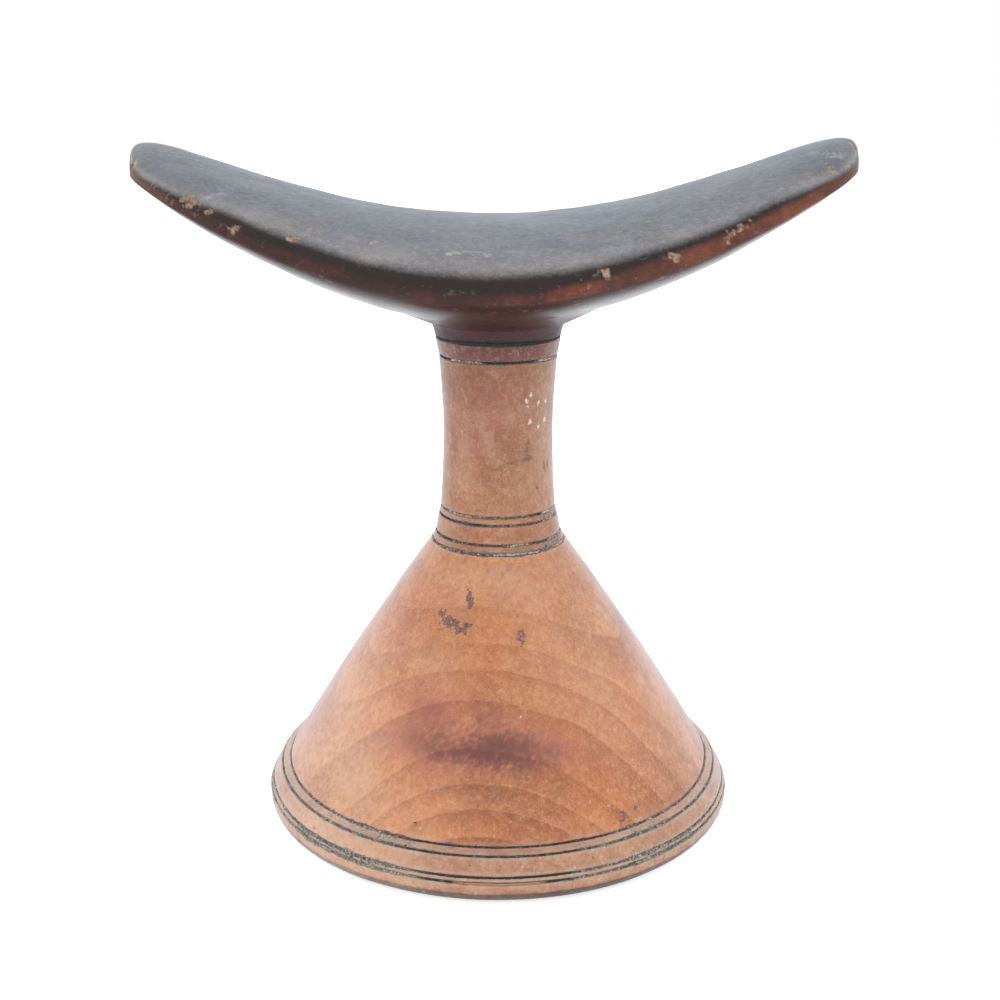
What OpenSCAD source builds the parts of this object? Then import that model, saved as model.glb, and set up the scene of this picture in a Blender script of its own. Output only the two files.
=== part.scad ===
// Carved wooden headrest: a crescent headplate on a slim round column that
// flares into a wide conical base. Narrow incised lines ring the two ends of
// the column and the rim of the base. +Z is up, +X runs along the headplate,
// and the origin is the centre of the flat foot.

/* [Foot and rim] */
// Radius of the flat face that the headrest stands on
foot_r = 51.4; // [49:0.1:53]
// Largest radius of the rim, just above the rounded foot edge
rim_r = 55.5; // [55:0.1:58]
// Height over which the lower edge of the foot is rounded
foot_round_h = 3.6; // [2:0.1:4.2]
// Height of the lower rim line
rim_line_low_z = 5.4; // [5:0.1:5.5]
// Height of the upper rim line
rim_line_high_z = 6.5; // [6.4:0.1:7.2]
// Radius of the base at the upper rim line
rim_line_high_r = 54.8; // [54.2:0.1:55]
// Height of the lower line on the shoulder above the rim
shoulder_line_low_z = 10.3; // [9.6:0.1:10.4]
// Radius of the base at the lower shoulder line
shoulder_line_low_r = 52.6; // [52:0.1:53]
// Height of the upper line on the shoulder above the rim
shoulder_line_high_z = 11.4; // [11.3:0.1:12]
// Radius of the base at the upper shoulder line
shoulder_line_high_r = 50.7; // [50:0.1:51]

/* [Base cone] */
// Height at which the cone ends, at the lowest of the ankle lines
cone_top_z = 65.1; // [60:0.1:65.5]
// Radius of the cone at its top
cone_top_r = 15.6; // [15.2:0.1:17]
// How far the side of the cone swells outside a straight line
cone_swell = 0.8; // [0:0.1:3]

/* [Ankle, where the column meets the cone] */
// Height of the second ankle line
ankle_line_2_z = 66.9; // [66.5:0.1:67.2]
// Radius at the second ankle line
ankle_line_2_r = 14.7; // [14.4:0.1:15]
// Height of the third ankle line
ankle_line_3_z = 71.3; // [70:0.1:71.5]
// Radius at the third ankle line
ankle_line_3_r = 13.8; // [13.6:0.1:14.2]
// Height of the top ankle line, where the plain column starts
ankle_line_4_z = 73.0; // [72.8:0.1:75]
// Radius at the top ankle line
ankle_line_4_r = 13.4; // [13:0.1:13.6]

/* [Column] */
// How far the column draws in at its waist
column_waist = 1.0; // [0:0.1:4]

/* [Collar under the headplate] */
// Height of the lower collar line, where the plain column ends
collar_line_low_z = 108.3; // [100:0.1:109.5]
// Radius at the lower collar line
collar_line_low_r = 13.5; // [13:0.1:14]
// Height of the upper collar line
collar_line_high_z = 112.6; // [111.5:0.1:113.4]
// Radius at the upper collar line
collar_line_high_r = 14.3; // [13.8:0.1:14.5]
// Height of the sharp upper edge of the collar
collar_edge_z = 115.6; // [114.8:0.1:115.8]
// Radius of the sharp upper edge of the collar
collar_edge_r = 14.7; // [14.6:0.1:15.5]

/* [Headplate] */
// Half of the headplate's length, from tip to tip
plate_half_l = 79.4; // [65:0.1:90]
// Distance that the headplate sits off the column's axis, along X
plate_shift = -1.0; // [-3:0.1:3]
// Half of the headplate's depth at its middle
plate_half_d = 36; // [26:0.5:44]
// Height of the headplate's side edge at its middle
plate_edge_z = 124.8; // [124:0.1:125.5]
// Height of the rounded top above the side edge
plate_crown_h = 14.9; // [8:0.1:18]
// Depth of the rounded underside below the side edge
plate_keel_h = 8.2; // [7.8:0.1:9]
// Slope that the side edge bends up towards, at the tips
edge_slope = 0.8; // [0.3:0.05:1]
// Length over which the side edge bends up
edge_bend = 71; // [50:1:120]
// Rise of the +X tip over the -X tip, for each millimetre of length
edge_tilt = 0.006; // [0:0.001:0.02]

/* [Incised lines] */
// Width of a line at the surface
line_w = 0.9; // [0.5:0.1:1]
// Depth of a line
line_d = 0.5; // [0.3:0.05:0.6]
// Share of a line's depth that old residue fills
fill_share = 0.75; // [0.4:0.05:0.95]

/* [Hidden] */
$fn = 128;

// Steps along curved stretches of the turned profile, and round the headplate
edge_steps = 8;
cone_steps = 8;
column_steps = 12;
plate_stations = 56;
plate_round = 44;

// The turned profile, from the rim up to the collar's edge. Knots 1 to 10 are
// the incised lines, and each knot is a point [radius, height].
RIM_LOW = 1;
RIM_HIGH = 2;
SHOULDER_LOW = 3;
SHOULDER_HIGH = 4;
ANKLE_1 = 5;
ANKLE_2 = 6;
ANKLE_3 = 7;
ANKLE_4 = 8;
COLLAR_LOW = 9;
COLLAR_HIGH = 10;
knots = [
    [rim_r, foot_round_h],
    [rim_r - 0.1, rim_line_low_z],
    [rim_line_high_r, rim_line_high_z],
    [shoulder_line_low_r, shoulder_line_low_z],
    [shoulder_line_high_r, shoulder_line_high_z],
    [cone_top_r, cone_top_z],
    [ankle_line_2_r, ankle_line_2_z],
    [ankle_line_3_r, ankle_line_3_z],
    [ankle_line_4_r, ankle_line_4_z],
    [collar_line_low_r, collar_line_low_z],
    [collar_line_high_r, collar_line_high_z],
    [collar_edge_r, collar_edge_z]
];

// The flare that carries the collar's edge into the underside of the headplate
flare_w = 6.3;
flare_h = 4.4;
flare_power = 1.6;
flare_steps = 6;
flare_core_z = collar_edge_z + flare_h + 1.4;

// How bluntly each part of the headplate ends, and how soft it is in the middle
crown_blunt = 0.21;
crown_soft = 0.25;
keel_blunt = 0.745;
keel_soft = 0.3;
depth_blunt = 0.39;
depth_soft = 0.35;

wood_dark = [0.20, 0.16, 0.16];
wood_red = [0.42, 0.22, 0.18];
wood_tan = [0.62, 0.38, 0.25];
wood_rim = [0.58, 0.33, 0.22];
residue = [0.16, 0.14, 0.13];

function unit(v) = v / norm(v);

// Direction of the profile at line i, halfway between its two neighbours
function along(i) = unit(unit(knots[i] - knots[i - 1]) + unit(knots[i + 1] - knots[i]));
function outward(i) = [along(i)[1], -along(i)[0]];

// The three corners of the V that line i cuts into the wood
function lip_low(i) = knots[i] - along(i) * line_w / 2;
function lip_high(i) = knots[i] + along(i) * line_w / 2;
function root(i) = knots[i] - outward(i) * line_d;

// Points from a to b, swollen outwards by swell at the middle
function stretch(a, b, swell, steps) =
    [for (k = [0:steps]) let (t = k / steps) a + (b - a) * t + [4 * swell * t * (1 - t), 0]];

// Solid of revolution between line i and the next line, parted on flat faces
module turned_section(i, swell = 0, steps = 1) {
    rotate_extrude()
        polygon(concat([[0, root(i)[1]], root(i)],
                       stretch(lip_high(i), lip_low(i + 1), swell, steps),
                       [root(i + 1), [0, root(i + 1)[1]]]));
}

// Ring of residue lying in the bottom of line i
module residue_ring(i) {
    low = root(i) + (lip_low(i) - root(i)) * fill_share;
    high = root(i) + (lip_high(i) - root(i)) * fill_share;
    color(residue) rotate_extrude() polygon([root(i), low, high]);
}

// Distance from the middle, 0 to 1, with its corner at the middle softened
function from_middle(s, soft) = (sqrt(s * s + soft * soft) - soft) / (sqrt(1 + soft * soft) - soft);
function taper(s, soft, blunt) = pow(max(0, 1 - from_middle(s, soft)), blunt);

// Height of the headplate's side edge at distance x from its middle
function edge_z(x) = plate_edge_z + sqrt(pow(edge_bend, 2) + pow(edge_slope * x, 2)) - edge_bend
                     + edge_tilt * x;

// Point of the headplate at station s (-1 to 1) and angle a round its section
function plate_point(s, a) =
    let (x = plate_half_l * s,
         up = plate_crown_h * taper(s, crown_soft, crown_blunt),
         down = plate_keel_h * taper(s, keel_soft, keel_blunt))
    [x + plate_shift,
     plate_half_d * taper(s, depth_soft, depth_blunt) * cos(a),
     edge_z(x) + (sin(a) > 0 ? up : down) * sin(a)];

// The crescent itself, as rings of points that close on one point at each tip
module crescent() {
    rings = plate_stations - 1;
    first_tip = rings * plate_round;
    points = concat(
        [for (k = [1:rings], j = [0:plate_round - 1])
            plate_point(sin(180 * k / plate_stations - 90), 360 * j / plate_round)],
        [plate_point(-1, 0), plate_point(1, 0)]);
    sides = [for (k = [0:rings - 2], j = [0:plate_round - 1])
        let (a = k * plate_round + j, b = k * plate_round + (j + 1) % plate_round)
        each [[a, a + plate_round, b], [b, a + plate_round, b + plate_round]]];
    tips = [for (j = [0:plate_round - 1])
        let (next = (j + 1) % plate_round, last = (rings - 1) * plate_round)
        each [[j, next, first_tip], [last + next, last + j, first_tip + 1]]];
    polyhedron(points, concat(sides, tips));
}

// The round boss under the crescent, from the upper collar line to the flare
module boss() {
    edge = knots[COLLAR_HIGH + 1];
    flare = [for (k = [0:flare_steps]) let (t = k / flare_steps)
        edge + [flare_w * t, flare_h * pow(t, flare_power)]];
    rotate_extrude()
        polygon(concat([[0, root(COLLAR_HIGH)[1]], root(COLLAR_HIGH), lip_high(COLLAR_HIGH)],
                       flare,
                       [[edge[0], flare_core_z], [0, flare_core_z]]));
}

module headplate() {
    color(wood_dark) {
        crescent();
        boss();
    }
}
module collar() { color(wood_red) turned_section(COLLAR_LOW); }
module column() { color(wood_red) turned_section(ANKLE_4, -column_waist, column_steps); }
module ankle_ring() { color(wood_tan) turned_section(ANKLE_3); }
module ankle_band() { color(wood_tan) turned_section(ANKLE_2); }
module ankle_foot() { color(wood_tan) turned_section(ANKLE_1); }
module base_cone() { color(wood_tan) turned_section(SHOULDER_HIGH, cone_swell, cone_steps); }
module shoulder() { color(wood_rim) turned_section(SHOULDER_LOW); }
module rim_band() { color(wood_rim) turned_section(RIM_HIGH); }
module rim_bead() { color(wood_rim) turned_section(RIM_LOW); }

// Lowest section: the flat foot with its rounded lower edge
module foot_ring() {
    rounding = [for (k = [0:edge_steps]) let (a = 90 * k / edge_steps)
        [foot_r + (rim_r - foot_r) * sin(a), foot_round_h * (1 - cos(a))]];
    color(wood_rim) rotate_extrude()
        polygon(concat([[0, 0]], rounding,
                       [lip_low(RIM_LOW), root(RIM_LOW), [0, root(RIM_LOW)[1]]]));
}

module collar_high_fill() { residue_ring(COLLAR_HIGH); }
module collar_low_fill() { residue_ring(COLLAR_LOW); }
module ankle_4_fill() { residue_ring(ANKLE_4); }
module ankle_3_fill() { residue_ring(ANKLE_3); }
module ankle_2_fill() { residue_ring(ANKLE_2); }
module ankle_1_fill() { residue_ring(ANKLE_1); }
module shoulder_high_fill() { residue_ring(SHOULDER_HIGH); }
module shoulder_low_fill() { residue_ring(SHOULDER_LOW); }
module rim_high_fill() { residue_ring(RIM_HIGH); }
module rim_low_fill() { residue_ring(RIM_LOW); }

headplate();
collar();
column();
ankle_ring();
ankle_band();
ankle_foot();
base_cone();
shoulder();
rim_band();
rim_bead();
foot_ring();
collar_high_fill();
collar_low_fill();
ankle_4_fill();
ankle_3_fill();
ankle_2_fill();
ankle_1_fill();
shoulder_high_fill();
shoulder_low_fill();
rim_high_fill();
rim_low_fill();
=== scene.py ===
import logging
import math
from collections.abc import Iterable
from dataclasses import dataclass
from enum import Enum

import bmesh
import bpy
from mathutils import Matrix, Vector, kdtree, noise


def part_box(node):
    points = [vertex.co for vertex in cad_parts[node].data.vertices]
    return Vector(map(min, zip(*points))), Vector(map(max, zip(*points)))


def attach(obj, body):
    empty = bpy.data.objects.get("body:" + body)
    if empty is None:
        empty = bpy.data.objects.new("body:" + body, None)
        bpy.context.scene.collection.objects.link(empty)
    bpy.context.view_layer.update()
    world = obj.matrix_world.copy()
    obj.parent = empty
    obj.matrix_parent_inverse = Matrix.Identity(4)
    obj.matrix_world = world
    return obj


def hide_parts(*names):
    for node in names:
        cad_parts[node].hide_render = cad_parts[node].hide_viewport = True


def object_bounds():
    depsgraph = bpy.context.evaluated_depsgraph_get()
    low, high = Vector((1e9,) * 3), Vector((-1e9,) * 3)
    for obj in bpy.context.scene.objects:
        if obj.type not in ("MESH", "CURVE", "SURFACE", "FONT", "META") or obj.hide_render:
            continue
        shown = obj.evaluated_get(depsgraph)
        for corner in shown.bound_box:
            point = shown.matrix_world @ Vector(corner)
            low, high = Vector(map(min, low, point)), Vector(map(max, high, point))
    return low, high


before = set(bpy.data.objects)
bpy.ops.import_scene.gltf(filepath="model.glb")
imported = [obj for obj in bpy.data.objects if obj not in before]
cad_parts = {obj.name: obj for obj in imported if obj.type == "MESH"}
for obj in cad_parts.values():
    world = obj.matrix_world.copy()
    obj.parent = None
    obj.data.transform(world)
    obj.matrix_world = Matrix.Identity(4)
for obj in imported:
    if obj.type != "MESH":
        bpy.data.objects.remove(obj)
CAD_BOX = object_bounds()

MM = 0.001
MERGE = 1e-6
SECTORS = 20
BODY = "root"
END_EASE = 5.0
log = logging.getLogger("headrest")

Profile = list[tuple[float, float]]
Color = tuple[float, float, float]
Socket = bpy.types.NodeSocket


class Layer(Enum):
    """Names of the values that a mesh carries at each vertex for its material."""

    DEPOSIT = "deposit"  # dark dust and old oil lying on the wood
    BARE = "bare"  # pale wood where the surface has chipped away
    STAIN = "stain"  # liquid soaked into the wood
    WHITE = "white"  # flecks of white paint or lime
    RISE = "rise"  # upward part of the smooth surface's normal
    GRIME_AND_SHADE = "grime_and_shade"  # brown dirt rubbed into the fibres, and a painted shadow along the foot's bottom edge
    FLUSH_AND_SHADE = "flush_and_shade"  # red darkening by hands near the headplate, and a painted shadow along the foot's bottom edge
    DUST = "dust"  # pale dust in the incised lines and beside them
    PALE_AND_LIT = "pale"  # wood faded and rubbed light, and painted light on the left flank


@dataclass(frozen=True)
class Mark:
    """One mark of use on the surface.

    Its place and its half size are given on the surface. On a turned part the
    place is the bearing from the front in degrees and the height in
    millimetres; on the headplate it is the share of the half length and the
    angle of the section in degrees. The half size is in millimetres, along
    the part's sideways and upward directions. The relief is how far the mark
    stands out in millimetres, and is negative for a dent.
    """

    layer: Layer
    place: tuple[float, float]
    size: tuple[float, float]
    relief: float = 0.0
    ragged: float = 0.45
    strength: float = 1.0
    lean: float = 0.0
    soft: float = 0.5


@dataclass(frozen=True)
class Spot:
    """Where a mark lies in space: its middle and the surface's directions."""

    centre: Vector
    sideways: Vector
    upward: Vector


def cover(mark: Mark, spot: Spot, co: Vector) -> float:
    """Tells how much of a mark lies at a point.

    Args:
        mark: The mark.
        spot: Where it lies.
        co: A point of the surface, in metres.

    Returns:
        0 outside the mark, rising to its strength inside.
    """
    off = (co - spot.centre) / MM
    lean = math.radians(mark.lean)
    side, up = off.dot(spot.sideways), off.dot(spot.upward)
    far = math.hypot((side * math.cos(lean) + up * math.sin(lean)) / mark.size[0],
                     (up * math.cos(lean) - side * math.sin(lean)) / mark.size[1])
    if far > 2.2:
        return 0.0
    edge = noise.noise(co * 1100.0) + 0.5 * noise.noise(co * 2900.0)
    return mark.strength * ease(1.3, mark.soft, far + mark.ragged * edge)


def ease(low: float, high: float, value: float) -> float:
    """Eases from 0 at low to 1 at high.

    Args:
        low: The value at which the result is 0.
        high: The value at which the result is 1; it may be under low.
        value: The value to ease.

    Returns:
        The eased share, from 0 to 1.
    """
    t = min(1.0, max(0.0, (value - low) / (high - low)))
    return t * t * (3.0 - 2.0 * t)


def layer_of(bm: bmesh.types.BMesh, layer: Layer) -> bmesh.types.BMLayerItem:
    """Finds a layer of a mesh, or makes it.

    Args:
        bm: The mesh.
        layer: The layer.

    Returns:
        The handle that reads and writes its values.
    """
    return bm.verts.layers.float.get(layer.value) or bm.verts.layers.float.new(layer.value)


def apply_marks(bm: bmesh.types.BMesh, marks: Iterable[tuple[Mark, Spot]]) -> None:
    """Cuts or raises marks in a mesh and notes them in their layers.

    Args:
        bm: The mesh, with normals up to date.
        marks: The marks that may touch this mesh, each with its spot.
    """
    marks = list(marks)
    handles = {mark.layer: layer_of(bm, mark.layer) for mark, _ in marks}
    bm.verts.ensure_lookup_table()
    tree = kdtree.KDTree(len(bm.verts))
    for vert in bm.verts:
        tree.insert(vert.co, vert.index)
    tree.balance()
    for mark, spot in marks:
        values = handles[mark.layer]
        for _, index, _ in tree.find_range(spot.centre, 2.2 * max(mark.size) * MM):
            vert = bm.verts[index]
            amount = cover(mark, spot, vert.co)
            if amount > 0.0:
                vert[values] += amount * max(0.0, 1.0 - vert[values])
                vert.co += vert.normal * mark.relief * MM * amount


# ---------------------------------------------------------------- shader nodes


class ShaderKit:
    """Short names for the shader nodes of one material, group or world."""

    def __init__(self, tree: bpy.types.NodeTree) -> None:
        """Starts with an empty tree."""
        self.tree = tree
        tree.nodes.clear()

    def node(self, kind: str, **values: object) -> bpy.types.Node:
        """Adds a node and sets its properties.

        Args:
            kind: The node's type, without the word ShaderNode in front.
            **values: Properties of the node, by name.

        Returns:
            The new node.
        """
        node = self.tree.nodes.new(kind if kind.startswith("NodeGroup") else "ShaderNode" + kind)
        for name, value in values.items():
            setattr(node, name, value)
        return node

    def feed(self, socket: Socket, value: object) -> None:
        """Links a socket to an output, or sets its value.

        Args:
            socket: The input socket.
            value: An output socket, a number, a vector or a colour.
        """
        if isinstance(value, Socket):
            self.tree.links.new(value, socket)
        elif socket.type == "RGBA" and len(value) == 3:
            socket.default_value = (*value, 1.0)
        else:
            socket.default_value = value

    def math(self, operation: str, *values: object) -> Socket:
        """Adds a Math node and returns its result."""
        node = self.node("Math", operation=operation)
        for socket, value in zip(node.inputs, values):
            self.feed(socket, value)
        return node.outputs[0]

    def times(self, *values: object) -> Socket:
        """Multiplies two or more values and returns the result."""
        total = values[0]
        for value in values[1:]:
            total = self.math("MULTIPLY", total, value)
        return total

    def plus(self, *values: object) -> Socket:
        """Adds two or more values and returns the result."""
        total = values[0]
        for value in values[1:]:
            total = self.math("ADD", total, value)
        return total

    def rest(self, value: object) -> Socket:
        """Returns what a value lacks to 1."""
        return self.math("SUBTRACT", 1.0, value)

    def around(self, value: object, reach: float) -> Socket:
        """Moves a 0 to 1 value round 0 and scales it to a reach."""
        return self.times(self.math("SUBTRACT", value, 0.5), reach)

    def mix(self, share: object, first: object, second: object, blend: str = "MIX") -> Socket:
        """Mixes two colours and returns the result."""
        node = self.node("Mix", data_type="RGBA", blend_type=blend)
        self.feed(node.inputs[0], share)
        self.feed(node.inputs[6], first)
        self.feed(node.inputs[7], second)
        return node.outputs[2]

    def tinted(self, share: object, color: Socket, tint: Color) -> Socket:
        """Multiplies a share of a colour by a tint and returns the result."""
        return self.mix(share, color, self.mix(1.0, color, tint, "MULTIPLY"))

    def toned(self, value: Socket, color: Socket, *tones: tuple[float, float, float, Socket]) -> Socket:
        """Mixes tones into a colour where a value is high or low.

        Args:
            value: The value that picks the places.
            color: The colour so far.
            *tones: For each tone, the value at which it starts, the value at
                which it is full, its share there and the tone itself.

        Returns:
            The colour with its tones.
        """
        for start, full, share, tone in tones:
            color = self.mix(self.times(self.smooth(value, start, full), share), color, tone)
        return color

    def smooth(self, value: object, low: object, high: object) -> Socket:
        """Eases a value from 0 at low to 1 at high and returns the result."""
        node = self.node("MapRange", interpolation_type="SMOOTHSTEP")
        self.feed(node.inputs[0], value)
        self.feed(node.inputs[1], low)
        self.feed(node.inputs[2], high)
        return node.outputs[0]

    def noise(self, vector: object, scale: object, detail: float = 3.0, rough: float = 0.55) -> Socket:
        """Adds a Noise Texture node and returns its value."""
        node = self.node("TexNoise")
        self.feed(node.inputs["Vector"], vector)
        self.feed(node.inputs["Scale"], scale)
        self.feed(node.inputs["Detail"], detail)
        self.feed(node.inputs["Roughness"], rough)
        return node.outputs[0]

    def scaled(self, vector: object, scale: tuple[float, float, float],
               turn: tuple[float, float, float] = (0.0, 0.0, 0.0)) -> Socket:
        """Turns and stretches a vector with a Mapping node and returns it."""
        node = self.node("Mapping")
        self.feed(node.inputs["Vector"], vector)
        self.feed(node.inputs["Rotation"], turn)
        self.feed(node.inputs["Scale"], scale)
        return node.outputs[0]

    def axes(self, vector: object) -> tuple[Socket, Socket, Socket]:
        """Splits a vector into its three parts."""
        node = self.node("SeparateXYZ")
        self.feed(node.inputs[0], vector)
        return tuple(node.outputs)

    def layer(self, layer: Layer) -> Socket:
        """Reads one of the mesh's layers and returns its value."""
        return self.node("Attribute", attribute_name=layer.value).outputs["Fac"]

    def group(self, tree: bpy.types.NodeTree, **values: object) -> bpy.types.Node:
        """Places a node group and feeds its inputs by name."""
        node = self.node("Group", node_tree=tree)
        for name, value in values.items():
            self.feed(node.inputs[name], value)
        return node

    def bump(self, height: object, distance: float, strength: float = 0.6) -> Socket:
        """Adds a Bump node and returns its normal.

        Args:
            height: The height that changes over the surface, about 0 to 1.
            distance: How far a height of 1 stands out, in millimetres.
            strength: How much of the bump shows.

        Returns:
            The bumped normal.
        """
        node = self.node("Bump")
        node.inputs["Strength"].default_value = strength
        node.inputs["Distance"].default_value = distance * MM
        self.feed(node.inputs["Height"], height)
        return node.outputs[0]


def new_group(name: str, inputs: dict[str, float | None],
              outputs: Iterable[str]) -> tuple[ShaderKit, dict[str, Socket], bpy.types.Node]:
    """Starts a shader node group that turns a place into values.

    Args:
        name: The group's name.
        inputs: The default of each number input, or None for a vector input.
        outputs: The names of the number outputs.
    """
    tree = bpy.data.node_groups.new(name, "ShaderNodeTree")
    for label, default in inputs.items():
        kind = "NodeSocketVector" if default is None else "NodeSocketFloat"
        socket = tree.interface.new_socket(label, in_out="INPUT", socket_type=kind)
        if default is not None:
            socket.default_value = default
    for label in outputs:
        tree.interface.new_socket(label, in_out="OUTPUT", socket_type="NodeSocketFloat")
    kit = ShaderKit(tree)
    start = kit.node("NodeGroupInput").outputs
    return kit, {socket.name: socket for socket in start if socket.name}, kit.node("NodeGroupOutput")


class Effects:
    """The shader node groups that several finishes share."""

    def __init__(self) -> None:
        """Builds the groups."""
        self.rings = self.build_rings()
        self.patches = self.build_patches()
        self.deposit = self.build_deposit()
        self.scuffs = self.build_scuffs()
        self.fibre = self.build_fibre()
        self.flecks = self.build_flecks()

    def build_rings(self) -> bpy.types.NodeTree:
        """Growth rings: arches where the curved rings meet the cut surface.

        Returns:
            A group from Vector, Spacing and Waver to Rings and Edge.
        """
        kit, ins, end = new_group("growth_rings", {"Vector": None, "Spacing": 0.0045, "Waver": 0.004},
                                  ["Rings", "Edge"])
        place = ins["Vector"]
        x, y, z = kit.axes(place)
        arch = kit.times(x, x, 16.6)
        level = kit.plus(z, arch, kit.times(y, -0.41), kit.times(x, 0.053))
        level = kit.plus(level, kit.times(kit.around(kit.noise(place, 24.0, 4.0, 0.5), 1.0), ins["Waver"]),
                         kit.times(kit.math("SINE", kit.times(level, 330.0)), 0.0011))
        count = kit.math("DIVIDE", level, ins["Spacing"])
        turn = kit.math("FRACT", count)
        chance = kit.node("TexWhiteNoise", noise_dimensions="1D")
        kit.feed(chance.inputs["W"], kit.math("FLOOR", count))
        strength = kit.plus(0.45, kit.times(chance.outputs["Value"], 0.55))
        late = kit.math("POWER", turn, 1.6)
        early = kit.rest(kit.smooth(turn, 0.94, 1.0))
        kit.feed(end.inputs["Rings"], kit.times(late, early, strength))
        kit.feed(end.inputs["Edge"], kit.times(kit.rest(kit.smooth(turn, 0.02, 0.13)), strength))
        return kit.tree

    def build_patches(self) -> bpy.types.NodeTree:
        """Cloudy patches, from noise cut between two levels.

        Returns:
            A group from Vector, Scale, Low and High to Mask.
        """
        kit, ins, end = new_group("patches", {"Vector": None, "Scale": 60.0, "Low": 0.45, "High": 0.65},
                                  ["Mask"])
        cloud = kit.noise(ins["Vector"], ins["Scale"], 5.0, 0.6)
        kit.feed(end.inputs["Mask"], kit.smooth(cloud, ins["Low"], ins["High"]))
        return kit.tree

    def build_deposit(self) -> bpy.types.NodeTree:
        """Gritty crust whose edge breaks up, with its own shade and height.

        Returns:
            A group from Vector, Amount and Grit to Mask, Shade and Height.
        """
        kit, ins, end = new_group("deposit", {"Vector": None, "Amount": 0.0, "Grit": 1400.0},
                                  ["Mask", "Shade", "Height"])
        place = ins["Vector"]
        grit = kit.noise(place, ins["Grit"], 4.0, 0.7)
        mask = kit.smooth(kit.plus(ins["Amount"], kit.around(grit, 1.7)), 0.42, 0.62)
        shade = kit.smooth(kit.noise(place, 2100.0, 3.0, 0.7), 0.34, 0.55)
        kit.feed(end.inputs["Mask"], mask)
        kit.feed(end.inputs["Shade"], shade)
        kit.feed(end.inputs["Height"], kit.times(mask, grit))
        return kit.tree

    def build_scuffs(self) -> bpy.types.NodeTree:
        """Short rubs and scratches in crossing directions, gathered in places.

        Returns:
            A group from Vector and Amount to Mask.
        """
        kit, ins, end = new_group("scuffs", {"Vector": None, "Amount": 0.5}, ["Mask"])
        place = ins["Vector"]
        total = 0.0
        for turn in (0.7, -0.9, 0.15):
            hair = kit.noise(kit.scaled(place, (3200.0, 900.0, 420.0), (0.2, turn, 0.3)), 1.0, 2.0, 0.5)
            total = kit.math("MAXIMUM", total, kit.smooth(hair, 0.63, 0.76))
        gather = kit.smooth(kit.noise(place, 140.0, 3.0, 0.6), 0.42, 0.62)
        kit.feed(end.inputs["Mask"], kit.times(total, ins["Amount"], gather))
        return kit.tree

    def build_fibre(self) -> bpy.types.NodeTree:
        """Fine fibre of the wood, drawn out along the grain, with open pores.

        Returns:
            A group from Vector to Fibre and Pores.
        """
        kit, ins, end = new_group("fibre", {"Vector": None}, ["Fibre", "Pores"])
        place = ins["Vector"]
        drawn = kit.noise(kit.scaled(place, (1.0, 1.0, 0.8)), 900.0, 4.0, 0.75)
        speckle = kit.noise(place, 2600.0, 2.0, 0.6)
        kit.feed(end.inputs["Fibre"], kit.plus(kit.times(drawn, 0.6), kit.times(speckle, 0.4)))
        pores = kit.node("TexVoronoi", feature="F1")
        kit.feed(pores.inputs["Vector"], kit.scaled(place, (1500.0, 1500.0, 520.0)))
        kit.feed(pores.inputs["Scale"], 1.0)
        kit.feed(end.inputs["Pores"], kit.rest(kit.smooth(pores.outputs["Distance"], 0.08, 0.30)))
        return kit.tree

    def build_flecks(self) -> bpy.types.NodeTree:
        """Small separate spots, each of a size of its own.

        Returns:
            A group from Vector, Scale and Share to Mask.
        """
        kit, ins, end = new_group("flecks", {"Vector": None, "Scale": 500.0, "Share": 0.2}, ["Mask"])
        place = ins["Vector"]
        warp = kit.node("VectorMath", operation="ADD")
        jitter = kit.node("TexNoise")
        kit.feed(jitter.inputs["Vector"], place)
        kit.feed(jitter.inputs["Scale"], 1500.0)
        shift = kit.node("VectorMath", operation="SCALE")
        kit.feed(shift.inputs[0], jitter.outputs["Color"])
        kit.feed(shift.inputs["Scale"], 0.0012)
        kit.feed(warp.inputs[0], place)
        kit.feed(warp.inputs[1], shift.outputs[0])
        cells = kit.node("TexVoronoi", feature="F1")
        kit.feed(cells.inputs["Vector"], warp.outputs[0])
        kit.feed(cells.inputs["Scale"], ins["Scale"])
        chance = kit.axes(cells.outputs["Color"])[0]
        reach = kit.times(kit.smooth(chance, kit.rest(ins["Share"]), 1.0), 0.42)
        inside = kit.smooth(kit.math("SUBTRACT", reach, cells.outputs["Distance"]), -0.02, 0.06)
        kit.feed(end.inputs["Mask"], kit.times(inside, kit.smooth(reach, 0.0, 0.05)))
        return kit.tree


# ---------------------------------------------------------------- finishes


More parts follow.
